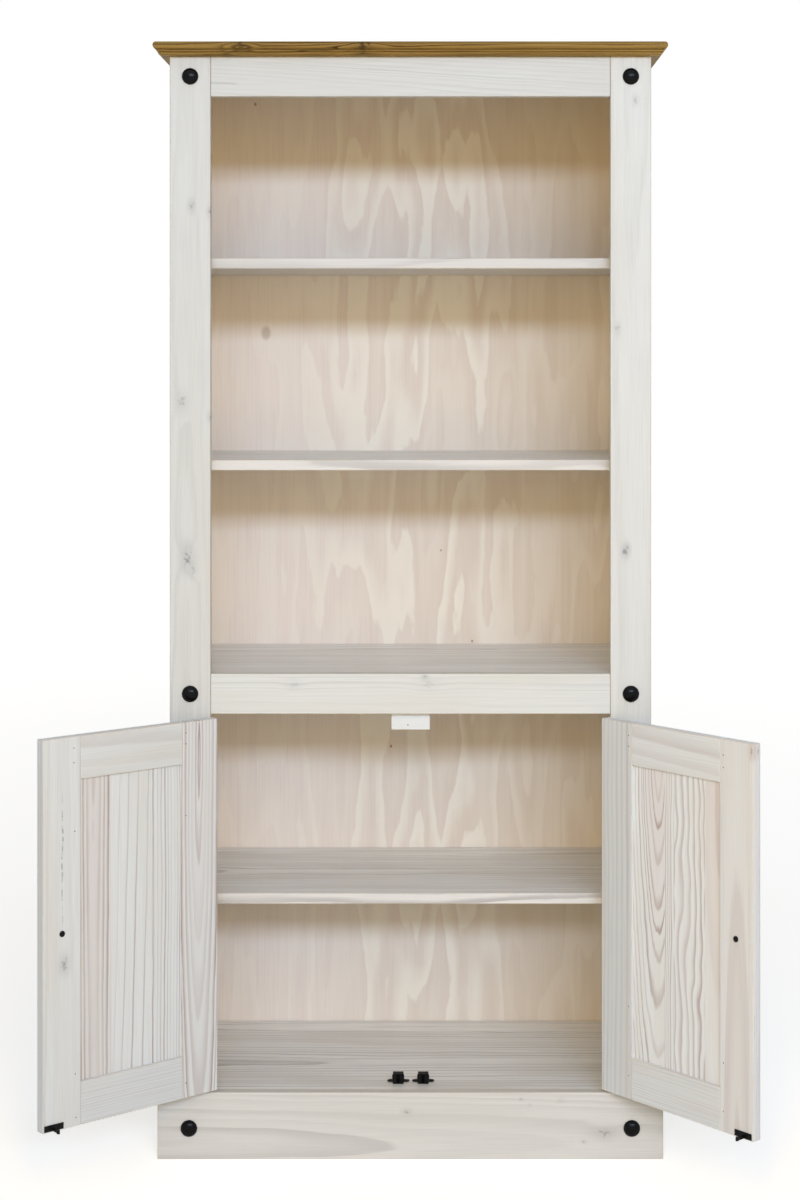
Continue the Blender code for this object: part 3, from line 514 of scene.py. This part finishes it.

# %% [markdown]
# ## The case's boards
# The uprights of the face frame are clear boards with a few small grey knots. The shelves show
# their rings as long thin lines, because one looks along them. Their tops are painted whiter than
# their edges: painted light, for the light that falls from above on a board that lies flat. Sides,
# plinth and cleats come from the same stack of timber.

# %% Face frame
FRAME_WAX = dict(WHITE_WAX, spring="#D8DAD6", summer="#A4A49E", heart="#CCCAC4", fibre="#C8C9C5",
                 warm="#D4D4CC", knot="#7E8086")
# pale=0.92 on the top rail is painted shade: the rail is waxed darker, as for the shade under the
# overhang of the top.
waxed_pine("top_face_rail", "rail", Stave((-30, 24), 6.0, 1.2, 7.0, 0.5, 0.15, slant=3.0),
           wax=FRAME_WAX, pale=0.92, seed=1)
waxed_pine("middle_face_rail", "rail", Stave((-44, 30), 8.0, 0.5, 6.0, 0.32, 0.0), wax=FRAME_WAX,
           seed=2, knots=((29, 24.5, 3, 1.0), (17, 30, 9, 0.25), (15, -197, 6, 0.35)))
waxed_pine("left_face_stile", "upright", Stave((-6, 45), 9.0, 0.6, 6.0, 0.24, 0.1),
           wax=FRAME_WAX, pale=0.93, seed=3,
           knots=((3, 676, 5, 0.7), (-14, 345, 8, 0.45), (-4, 80, 9, 0.75), (5, 60, 5, 0.4),
                  (34, 667, 4, 0.8), (34, 319, 4, 0.7)))
waxed_pine("right_face_stile", "upright", Stave((8, 60), 9.0, -0.6, 6.0, 0.2, 0.05),
           wax=FRAME_WAX, pale=0.99, seed=4,
           knots=((8, 855, 4, 0.6), (-24, 468, 5, 0.5), (-10, 92, 5, 0.9), (-6, 98, 4, 0.4)))
print("waxed the face frame")

# %% Plinth and sides
PLINTH_WAX = dict(FRAME_WAX, spring="#DDDAD3", fibre="#CDCAC3", knot="#857B6E")
waxed_pine("plinth_front", "rail", Stave((-30, 40), 13.0, 2.2, 12.0, 0.5, 0.1, 0.15),
           wax=PLINTH_WAX, pale=0.94, seed=30,
           knots=((-12, 326, 9, 0.6), (23, -6, 4, 0.7), (43, 253, 3, 0.4), (-27, 292, 3, 0.5),
                  (45, 186, 2, 0.5), (35, 201, 2, 0.5)))
waxed_pine("plinth_rear", "rail", Stave((5, 60), 7.0, lines=0.35), seed=31)
waxed_pine("door_stop_block", "rail", Stave((60, 90), lines=0.15, blush=0.0), seed=32)
for seed, side in enumerate(("left", "right")):
    waxed_pine(f"{side}_side_panel", "side", Stave((-130, 40), 6.0, 1.0, 8.0, 0.4, 0.2),
               Stave((10, 30), 5.5, -2.0, 8.0, 0.5, 0.4, start=-62),
               Stave((150, 60), 7.0, 0.6, 8.0, 0.35, 0.2, start=66), seed=20 + seed)
    waxed_pine(f"plinth_{side}", "return", Stave((12, 50), lines=0.3), seed=22 + seed)
print("waxed the plinth and the sides")

# %% Shelves
# The shelves' last colour is painted light: the whiter colour of their upper faces.
SHELF_WAX = dict(WHITE_WAX, spring="#D9D8D4", summer="#A19D9A", heart="#D0C8C3", fibre="#CAC8C4",
                 warm="#D6D3CB", painted_lit_top="#F1F1EE")
SHELF_GLOSS = (0.26, 0.40)
# The high shelf's lower pale is painted shade: it is waxed darker than the shelves below, as if
# less light reached it.
for seed, node in enumerate(("high_shelf", "low_shelf", "middle_shelf", "cupboard_shelf",
                             "bottom_board")):
    waxed_pine(node, "shelf", Stave((90 - 35 * seed, 60), 9.0, 0.5, 12.0, 0.9, 0.2),
               Stave((70 + 20 * seed, 45), 8.0, -0.6, 12.0, 1.0, 0.3, start=-25 + 17 * seed),
               wax=SHELF_WAX, pale=0.92 if node == "high_shelf" else 1.03, gloss=SHELF_GLOSS,
               seed=10 + seed)
for side in ("left", "right"):
    for seed, shelf in enumerate(("high", "low", "cupboard")):
        waxed_pine(f"{side}_{shelf}_cleat", "return", Stave((30, 20), lines=0.4), seed=24 + seed)
print("waxed the shelves")

# %% [markdown]
# ## The doors' boards
# The doors show their backs. Each panel is glued from staves: straight lines, close and wide,
# on the left; arches that point down beside close and wavy lines on the right. The stiles were
# cut near the heart and show long pink arches, and the left meeting stile has a cracked pith.

# %% Door boards
RESIN_WAX = dict(WHITE_WAX, knot="#9A7B58")  # resin has browned the knot
# In this cell pale is partly painted light: the right door, which turns away from the lamps, gets
# paler boards, and the left door darker ones.
for side, pale, seed in (("left", 0.92, 40), ("right", 1.06, 50)):
    door = f"{side}_door"
    waxed_pine(f"{door}_top_rail", "rail",
               Stave((70, 50), 19.0, 0.5, 7.0, 0.4, 0.0, 0.1, slant=-3.0),
               pale=pale, body=door, seed=seed)
    waxed_pine(f"{door}_bottom_rail", "rail", Stave((-90, 30), 4.6, 0.6, 5.0, 0.30, 0.0),
               pale=pale - 0.04, body=door, seed=seed + 1)
waxed_pine("left_door_panel", "upright", Stave((-210, 6), 6.5, 0.3, 5.0, 1.1, 0.0, 0.45),
           Stave((-190, 10), 17.0, 0.5, 6.0, 0.9, 0.0, 0.75, slant=1.5, start=-36),
           Stave((70, 14), 6.5, -0.3, 5.0, 1.3, 0.4, 0.25, start=38),
           pale=0.96, body="left_door", seed=43)
waxed_pine("left_door_hinge_stile", "upright", Stave((2, 22), 6.5, -2.8, 5.0, 1.2, 0.15, 0.15),
           pale=0.97, body="left_door", seed=44)
waxed_pine("left_door_meeting_stile", "upright", Stave((-4, 40), 8.0, 0.5, 6.0, 0.25, 0.0),
           pale=0.94, body="left_door", seed=45, knots=((-4, -50, 7, 0.75),), pith=(-0.5, 6, 240))
waxed_pine("right_door_panel", "upright", Stave((-95, 25), 26.0, -6.0, 4.0, 0.7, 0.6),
           Stave((70, 12), 12.0, 0.6, 10.0, 1.25, 0.3, 0.3, start=-62, ripple=36),
           Stave((-60, 8), 4.6, 0.3, 4.0, 1.0, 0.05, start=6, ripple=8),
           Stave((41, 35), 5.8, -6.0, 5.0, 1.35, 0.4, 0.5, start=27, ripple=5),
           pale=1.16, body="right_door", seed=53)
waxed_pine("right_door_hinge_stile", "upright", Stave((-90, 40), 9.0, 0.4, 6.0, 0.4, 0.3),
           pale=0.95, body="right_door", seed=54)
waxed_pine("right_door_meeting_stile", "upright", Stave((-31, 5), 3.0, 0.0, 1.0, 0.8, 0.2),
           Stave((-2, 33), 24.0, 3.0, 5.0, 0.6, 0.35, 0.05, start=-26),
           wax=RESIN_WAX, pale=1.11, body="right_door", seed=55, knots=((-32, 300, 5, 0.6),))
print("waxed the doors")

# %% [markdown]
# ## Golden-waxed top
# The top board was rubbed with a brown wax before it went on. The wax stains the soft spring
# wood to an olive gold and leaves the hard summer lines dark. It is the same tree as before, so
# the same finish serves, with its own colours and hardly any shine.

# %% Golden-waxed top
GOLDEN_WAX = {"spring": "#A18244", "summer": "#463115", "heart": "#7C5F31", "fibre": "#6D5529",
              "warm": "#A6894C", "knot": "#3E2E17", "bare": "#7C6030"}
waxed_pine("top_board", "shelf", Stave((-190, 22), 4.0, 0.7, 9.0, 1.2, 0.5),
           Stave((30, 40), 7.0, 0.8, 8.0, 0.8, 0.3, start=-120),
           Stave((150, 60), 8.0, -0.8, 8.0, 0.8, 0.2, start=60),
           wax=GOLDEN_WAX, shine=0.08, seed=60,
           knots=((-208, -80, 9, 0.9), (-208, -285, 6, 0.8), (40, 190, 10, 0.8)))
print("waxed the top")

# %% [markdown]
# ## Plywood back
# The back is a sheet of plywood. Its face was peeled off a turning log, so the blade followed
# each ring for a long way and drew tall flames: a crisp edge on one side of each and a soft
# fade on the other. The thin whitewash left it pinkish, paler where the flames are wide. The
# flames are the contour lines of a stretched noise, with one sharp step for every ring.

# %% Plywood flames
PEEL = (1 / 85, 0, 1 / 480)  # a flame's width and height in millimetres
PEEL_START = (1.2, 0, 0)  # where on the log the blade began; brings the widest flames left
TORN, TORN_DEPTH = (1 / 16, 0, 1 / 60), 0.5
BANDS = 7.0
FLAME_RISE, FLAME_EDGE = (0.1, 0.8), (0.88, 1.0)  # shares of a ring
FAINTEST_FLAME = 0.35
LEFT_FADE, RIGHT_FADE = (-300, -80), (60, 240)  # millimetres across the sheet
FADED = 0.35  # what is left of a flame at the sheet's sides

plywood, tree, shader = new_finish("whitewashed plywood")
sheet = board_frame(tree, "back_panel", "upright", "case")[0]
across = add_node(tree, "SeparateXYZ", {0: sheet})[0]
tall = add_node(tree, "Mapping", {"Vector": sheet, "Scale": PEEL, "Location": PEEL_START})[0]
peel = add_node(tree, "TexNoise", {"Vector": tall, "Scale": 1.0, "Detail": 1.5})[0]
torn = remap(tree, noise(tree, sheet, TORN, 2.0), (0, 1), (0, TORN_DEPTH))
rings = compute(tree, "MULTIPLY_ADD", peel, BANDS, torn)
season = compute(tree, "FRACT", rings)
year = compute(tree, "FLOOR", rings)
luck = add_node(tree, "TexWhiteNoise", {"W": year}, noise_dimensions="1D")["Value"]
flame = remap(tree, season, FLAME_RISE, (0, 1), smooth=True)
for share in (remap(tree, season, FLAME_EDGE, (1, 0), smooth=True),
              remap(tree, luck, (0, 1), (FAINTEST_FLAME, 1)),
              remap(tree, across, LEFT_FADE, (FADED, 1), smooth=True),
              remap(tree, across, RIGHT_FADE, (1, FADED), smooth=True)):
    flame = compute(tree, "MULTIPLY", flame, share)
print("flames in", BANDS, "bands")

# %% [markdown]
# ## Whitewash
# The wash was brushed along the sheet, so it lies in long faint streaks, and the flames show
# through it as its palest places. A knot and a few brown specks break it. An image could hold
# them, but in a short list of places and sizes each can be moved by hand.

# %% Plywood wash and marks
WASH = (1 / 24, 0, 1 / 900)  # streaks of the brush
# The sheet turns from a paler left to a browner right: partly the veneer's own tone, partly painted
# light at the left of the bays, which the lamps reach less.
PLY = {"left": "#E7DCD2", "right": "#DBCDBA", "flame": "#EFE9DB", "fibre": "#D0C2B6",
       "mark": "#8A6A43"}
PLY_SIDES = (-200, 250)  # millimetres across between which left turns to right
PLY_STREAKS, WASH_STREAKS = ((0.45, 0.75), (0.0, 0.3)), ((0.45, 0.75), (0.0, 0.35))
PLY_GLOSS = (0.5, 0.68)
PLY_MARKS = ((-274, 1393, 10, 0.4), (-41, 623, 2.2, 0.9), (110, 819, 2.0, 0.8),
             (-294, 1819, 2.6, 0.7), (52, 988, 1.6, 0.8))  # across, height, size, depth
MARK_SQUASH, MARK_RIM = 0.7, (0.5, 1.2)

washed = {name: linear(code) for name, code in PLY.items()}
fibre = noise(tree, sheet, FIBRE, 3.0)
tone = blend(tree, remap(tree, across, PLY_SIDES, (0, 1)), washed["left"], washed["right"])
tone = blend(tree, remap(tree, fibre, *PLY_STREAKS), tone, washed["fibre"])
brush = remap(tree, noise(tree, sheet, WASH, 2.0), *WASH_STREAKS)
tone = blend(tree, compute(tree, "MAXIMUM", flame, brush), tone, washed["flame"])
face = stretch(tree, sheet, (1, 0, MARK_SQUASH))
sheet_low, sheet_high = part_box("back_panel")
for mark_across, height, size, depth in PLY_MARKS:
    mark_along = height - MM * (sheet_low.z + sheet_high.z) / 2
    gap = distance(tree, face, (mark_across, 0, MARK_SQUASH * mark_along))
    spot = remap(tree, gap, [share * size for share in MARK_RIM], (depth, 0), smooth=True)
    tone = blend(tree, spot, tone, washed["mark"])
tree.links.new(tone, shader.inputs["Base Color"])
tree.links.new(remap(tree, fibre, USUAL, PLY_GLOSS), shader.inputs["Roughness"])
bump = add_node(tree, "Bump", {"Height": fibre, "Strength": 0.2, "Distance": 0.2 / MM})[0]
tree.links.new(bump, shader.inputs["Normal"])
dress("back_panel", plywood)
print("washed the plywood,", len(PLY_MARKS), "marks")

# %% [markdown]
# ## Black iron, steel and nylon
# Studs and knobs are cast iron under satin black paint, slightly lumpy. Screws, hinges and
# strikes are pressed steel under black lacquer, smoother. Catches and rollers are moulded
# nylon, dull and fine-grained. Painted metal is not metallic to the eye, so all three are plain
# dark coats that differ in gloss and grit.

# %% Black finishes
COAT_SHINE = 0.11  # low, or a white room would turn the black grey


def black_coat(name, dark, pale, rough, grit, depth):
    """A dark coat: two near-blacks, a range of roughness, and lumps of grit millimetres."""
    material, tree, shader = new_finish(name)
    place = add_node(tree, "TexCoord", {})["Object"]
    lumps = add_node(tree, "TexNoise", {"Vector": place, "Scale": MM / grit, "Detail": 3.0})[0]
    tree.links.new(blend(tree, lumps, linear(dark), linear(pale)), shader.inputs["Base Color"])
    tree.links.new(remap(tree, lumps, USUAL, rough), shader.inputs["Roughness"])
    shader.inputs["Specular IOR Level"].default_value = COAT_SHINE
    bump = add_node(tree, "Bump", {"Height": lumps, "Strength": 0.3, "Distance": depth / MM})[0]
    tree.links.new(bump, shader.inputs["Normal"])
    return material


black_iron = black_coat("cast iron, satin black paint", "#040404", "#0B0B0B", (0.18, 0.26),
                        grit=4.0, depth=0.12)
black_steel = black_coat("pressed steel, black lacquer", "#0C0C0D", "#161618", (0.28, 0.38),
                         grit=1.2, depth=0.05)
black_nylon = black_coat("moulded black nylon", "#0A0A0A", "#151413", (0.44, 0.56),
                         grit=0.8, depth=0.05)
for node in frame["nodes"]:
    if "catch" in node:
        dress(node, black_nylon)
    elif "leaf" in node or "strike" in node:
        dress(node, black_steel)
print("coated the hinges, strikes and catches")

# %% [markdown]
# ## Turned ironwork
# Studs, knobs and screw heads are round, so each is built as on a lathe: a flat disc is
# extruded ring by ring, and each ring is scaled to the next radius of the outline. A spin of a
# drawn profile would do the same; with extrudes the outline can be read as a list of radius
# and height. The disc's own face closes the foot and the last one the tip.

# %% Lathe
TURN_STEPS = 48
CREASE_ANGLE = 35  # degrees; steeper edges stay sharp
SAME_PLACE = 1e-6  # metres within which two points are one


def turned(name, outline, material, steps=TURN_STEPS):
    """Turn a piece from its outline of radius and height in millimetres, foot first."""
    bpy.ops.object.select_all(action="DESELECT")
    radius, height = outline[0]
    bpy.ops.mesh.primitive_circle_add(vertices=steps, radius=radius / MM, fill_type="NGON",
                                      location=(0, 0, height / MM))
    piece = bpy.context.object
    bpy.ops.object.transform_apply(location=True)
    bpy.ops.object.mode_set(mode="EDIT")
    bpy.ops.mesh.select_mode(type="FACE")
    for next_radius, next_height in outline[1:]:
        rise = (next_height - height) / MM
        bpy.ops.mesh.extrude_region_move(TRANSFORM_OT_translate={"value": (0, 0, rise)})
        scale = next_radius / radius
        bpy.ops.transform.resize(value=(scale, scale, 1),
                                 center_override=(0, 0, next_height / MM))
        radius, height = next_radius, next_height
    bpy.ops.mesh.select_all(action="SELECT")
    bpy.ops.mesh.remove_doubles(threshold=SAME_PLACE)
    bpy.ops.mesh.normals_make_consistent(inside=False)
    bpy.ops.object.mode_set(mode="OBJECT")
    bpy.ops.object.shade_smooth_by_angle(angle=math.radians(CREASE_ANGLE))
    piece.name = name
    piece.data.materials.append(material)
    return piece


print("lathe set to", TURN_STEPS, "steps")

# %% Placing
def fit(pattern, name, places, facing, body, stands_for=()):
    """Copy a piece to each place (shut, in metres), join the copies and hang them on a body."""
    hinge = Matrix.Translation(pivot.get(body, Vector()))
    opened = hinge @ shut_turn[body].inverted() @ hinge.inverted()
    turn = Vector((0, 0, 1)).rotation_difference(Vector(facing)).to_matrix().to_4x4()
    bpy.ops.object.select_all(action="DESELECT")
    for place in places:
        copy = pattern.copy()
        copy.data = pattern.data.copy()
        scene.collection.objects.link(copy)
        copy.matrix_world = opened @ Matrix.Translation(place) @ turn
        copy.select_set(True)
        bpy.context.view_layer.objects.active = copy
    bpy.ops.object.join()
    bpy.ops.object.transform_apply(location=True, rotation=True, scale=True)
    piece = bpy.context.object
    piece.name = name
    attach(piece, body)
    if stands_for:
        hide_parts(*stands_for)


print("pieces can hang on", list(shut_turn))

# %% [markdown]
# ## Studs and knobs
# Six domed studs cover the joints of the face frame and the plinth. A cast stud is not a plain
# half ball: it has a thin upright rim where it meets the wood and a shank behind it. The knobs
# on the doors' fronts have a foot, a neck and a mushroom head.

# %% Studs
STUD_RADIUS, STUD_RISE, STUD_RIM, STUD_EASE = 14.0, 8.0, 0.7, 0.3
SHANK_RADIUS, SHANK_LENGTH = 4.0, 11.7
DOME_STEPS = 12
DOME_FLAT = 0.5  # radius of the flat on a dome's tip


def dome(radius, rise, foot):
    """Outline points of a dome that springs from height foot, up to its flat tip."""
    points = []
    for step in range(1, DOME_STEPS + 1):
        turn = math.radians(90 * step / DOME_STEPS)
        points.append((max(radius * math.cos(turn), DOME_FLAT), foot + rise * math.sin(turn)))
    return points


stud = turned("stud", [(SHANK_RADIUS, -SHANK_LENGTH), (SHANK_RADIUS, 0.0),
                       (STUD_RADIUS - STUD_EASE, 0.0), (STUD_RADIUS, STUD_EASE),
                       (STUD_RADIUS, STUD_RIM)]
              + dome(STUD_RADIUS, STUD_RISE - STUD_RIM, STUD_RIM), black_iron)
for side in ("left", "right"):
    for row in ("top", "middle", "plinth"):
        node = f"{side}_{row}_stud"
        low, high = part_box(node)
        middle = (low + high) / 2
        foot = low.y + STUD_RISE / MM
        fit(stud, f"{node}_head", [(middle.x, foot, middle.z)], (0, -1, 0), "case",
            [node])
bpy.data.objects.remove(stud)
print("six studs of", 2 * STUD_RADIUS, "mm")

# %% Knobs
CLEARANCE = 0.0003  # between pieces that touch, as in the solids
DOOR_FRONT, DOOR_REAR = 0.0093, 0.0273  # the door's faces when shut
HINGE_X = pivot["right_door"].x
KNOB_S, KNOB_Z = 0.3005, 0.4295  # from the hinge pin, and above the floor
KNOB_RADIUS, KNOB_CROWN, KNOB_SHOULDER = 15.0, 7.0, 20.0
KNOB_NECK = [(10.0, 0.0), (10.0, 2.2), (9.5, 3.3), (8.4, 4.2), (7.2, 5.4), (6.6, 7.0), (6.5, 9.0),
             (6.7, 11.0), (7.6, 13.0), (9.4, 14.8), (12.0, 16.4), (14.2, 18.0),
             (KNOB_RADIUS, KNOB_SHOULDER)]


def on_door(side, s, y, z):
    """A place on a shut door, s metres from its hinge pin."""
    return ((s - HINGE_X) if side == "left" else (HINGE_X - s), y, z)


knob = turned("knob", KNOB_NECK + dome(KNOB_RADIUS, KNOB_CROWN, KNOB_SHOULDER), black_iron)
for side in ("left", "right"):
    fit(knob, f"{side}_turned_knob", [on_door(side, KNOB_S, DOOR_FRONT - CLEARANCE, KNOB_Z)],
        (0, -1, 0), f"{side}_door", [f"{side}_knob"])
bpy.data.objects.remove(knob)
print("two knobs of", 2 * KNOB_RADIUS, "mm")

# %% [markdown]
# ## Screws
# The knobs are held by screws from behind, whose black heads show on the doors' backs. Smaller
# ones hold hinges, strikes and catches. Every head has a cross for the driver: the flat of the
# head is cut along four lines with bisect, and the cross of faces between them is pushed in.

# %% Screw patterns
SCREW_STEPS = 24
HEAD_FLAT = 0.55  # here and below, shares of the head's radius and of its rise
HEAD_OUTLINE = ((0.96, 0.0), (1.0, 0.25), (0.93, 0.6), (0.78, 0.88), (HEAD_FLAT, 1.0))
CROSS_HALF, CROSS_REACH, CROSS_DEPTH = 0.13, 0.5, 0.6
LEVEL, TOPMOST = 0.9, 0.99  # the least upward part of a normal, and height, on the flat


def pick_faces(test):
    """Select the faces of the piece in hand whose middle and normal pass the test."""
    mesh = bmesh.from_edit_mesh(bpy.context.object.data)
    for part in mesh.faces:
        part.select_set(test(part.calc_center_median(), part.normal))
    bmesh.update_edit_mesh(bpy.context.object.data)


def screw(name, radius, rise, shank, shank_radius):
    """A pan-head screw with a cross recess, in millimetres."""
    head = [(wide * radius, high * rise) for wide, high in HEAD_OUTLINE]
    piece = turned(name, [(shank_radius, -shank), (shank_radius, 0.0)] + head, black_steel,
                   SCREW_STEPS)
    half, reach = CROSS_HALF * radius / MM, CROSS_REACH * radius / MM
    bpy.ops.object.mode_set(mode="EDIT")

    def on_flat(middle, normal):
        return (normal.z > LEVEL and middle.z > TOPMOST * rise / MM
                and middle.xy.length < HEAD_FLAT * radius / MM)

    for normal in ((1, 0, 0), (0, 1, 0)):
        for offset in (-reach, -half, half, reach):
            pick_faces(on_flat)
            bpy.ops.mesh.bisect(plane_co=[offset * n for n in normal], plane_no=normal)
    pick_faces(lambda middle, normal: on_flat(middle, normal)
               and min(abs(middle.x), abs(middle.y)) < half
               and max(abs(middle.x), abs(middle.y)) < reach)
    bpy.ops.mesh.extrude_region_move(
        TRANSFORM_OT_translate={"value": (0, 0, -CROSS_DEPTH * rise / MM)})
    bpy.ops.object.mode_set(mode="OBJECT")
    return piece


knob_screw = screw("knob screw", radius=5.0, rise=2.5, shank=28.4, shank_radius=2.5)
for side in ("left", "right"):
    fit(knob_screw, f"{side}_knob_screw_head",
        [on_door(side, KNOB_S, DOOR_REAR + CLEARANCE, KNOB_Z)], (0, 1, 0), f"{side}_door",
        [f"{side}_knob_screw"])
bpy.data.objects.remove(knob_screw)
print("two knob screws")

# %% Hinge, strike and catch screws
HINGE_MIDDLES, HINGE_STEP = (0.237, 0.622), 0.021
LEAF_MIDDLE = 0.0075  # from the door's front face into the leaf
LEAF_FACE = 0.001  # from the hinge pin
STRIKE_S, STRIKE_STEP, STRIKE_Z, STRIKE_FACE = 0.31575, 0.0125, 0.1245, 0.0288
EAR_X, EAR_STEP, EAR_Y, EAR_TOP = 0.02125, 0.01325, 0.0505, 0.1139

hinge_heights = [middle + step for middle in HINGE_MIDDLES for step in (-HINGE_STEP, HINGE_STEP)]
leaf_y = DOOR_FRONT + LEAF_MIDDLE
sunk_screw = screw("sunk screw", radius=2.4, rise=0.35, shank=0.4, shank_radius=1.4)
small_screw = screw("small screw", radius=2.2, rise=0.9, shank=1.0, shank_radius=1.1)
for side, sign in (("left", -1), ("right", 1)):
    door = f"{side}_door"
    fit(sunk_screw, f"{side}_frame_hinge_screws",
        [(sign * (HINGE_X + LEAF_FACE), leaf_y, z) for z in hinge_heights], (-sign, 0, 0), "case")
    fit(sunk_screw, f"{side}_door_hinge_screws",
        [on_door(side, LEAF_FACE, leaf_y, z) for z in hinge_heights], (sign, 0, 0), door)
    fit(small_screw, f"{side}_strike_screws",
        [on_door(side, STRIKE_S + step, STRIKE_FACE, STRIKE_Z)
         for step in (-STRIKE_STEP, STRIKE_STEP)], (0, 1, 0), door)
    fit(small_screw, f"{side}_catch_screws",
        [(sign * EAR_X + step, EAR_Y, EAR_TOP) for step in (-EAR_STEP, EAR_STEP)], (0, 0, 1),
        "case")
bpy.data.objects.remove(sunk_screw)
bpy.data.objects.remove(small_screw)
print("screws in", 2 * len(hinge_heights), "hinge holes a door")

# %% [markdown]
# ## Brads and nails
# Thin brads pin the door joints from behind; only their dark points show. The plywood back
# is nailed all round to the case. A brad's head is a low button, turned from a few faces only,
# because there are many of them.

# %% Brads
BRADS = {  # distance from the hinge pin, and height, as counted on the doors' backs
    "left": ((0.2785, 0.7234), (0.2785, 0.700), (0.277, 0.590), (0.276, 0.201), (0.275, 0.131),
             (0.0644, 0.724), (0.0644, 0.706), (0.0644, 0.587), (0.0644, 0.142)),
    "right": ((0.0644, 0.721), (0.0644, 0.703), (0.0644, 0.271), (0.0644, 0.156),
              (0.2735, 0.717), (0.2735, 0.697), (0.2735, 0.227), (0.2735, 0.150)),
}
STOP_BRAD_X, STOP_BRAD_Z = -0.0045, 0.7243
BRAD_OUTLINE, BRAD_STEPS = [(0.9, -0.4), (1.0, 0.0), (0.7, 0.12)], 10

brad = turned("brad", BRAD_OUTLINE, black_steel, BRAD_STEPS)
for side, places in BRADS.items():
    fit(brad, f"{side}_door_brads", [on_door(side, s, DOOR_REAR, z) for s, z in places], (0, 1, 0),
        f"{side}_door")
stop_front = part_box("door_stop_block")[0].y
fit(brad, "stop_block_brad", [(STOP_BRAD_X, stop_front, STOP_BRAD_Z)], (0, -1, 0), "case")
bpy.data.objects.remove(brad)
print("brads in the doors:", sum(map(len, BRADS.values())))

# %% Nails of the back
NAIL_INSET, NAIL_STEP = 0.009, 0.16
NAIL_OUTLINE, NAIL_STEPS = [(1.2, -1.0), (1.8, 0.0), (1.8, 0.15), (1.2, 0.25)], 12

nail = turned("nail", NAIL_OUTLINE, black_steel, NAIL_STEPS)
left_x, right_x = sheet_low.x + NAIL_INSET, sheet_high.x - NAIL_INSET
low_z, high_z = sheet_low.z + NAIL_INSET, sheet_high.z - NAIL_INSET
rows, columns = (round(size / NAIL_STEP) for size in (high_z - low_z, right_x - left_x))
places = [(x, sheet_high.y, low_z + (high_z - low_z) * row / rows)
          for row in range(rows + 1) for x in (left_x, right_x)]
places += [(left_x + (right_x - left_x) * column / columns, sheet_high.y, z)
           for column in range(1, columns) for z in (low_z, high_z)]
fit(nail, "back_nails", places, (0, 1, 0), "case")
bpy.data.objects.remove(nail)
print("nails round the back:", len(places))
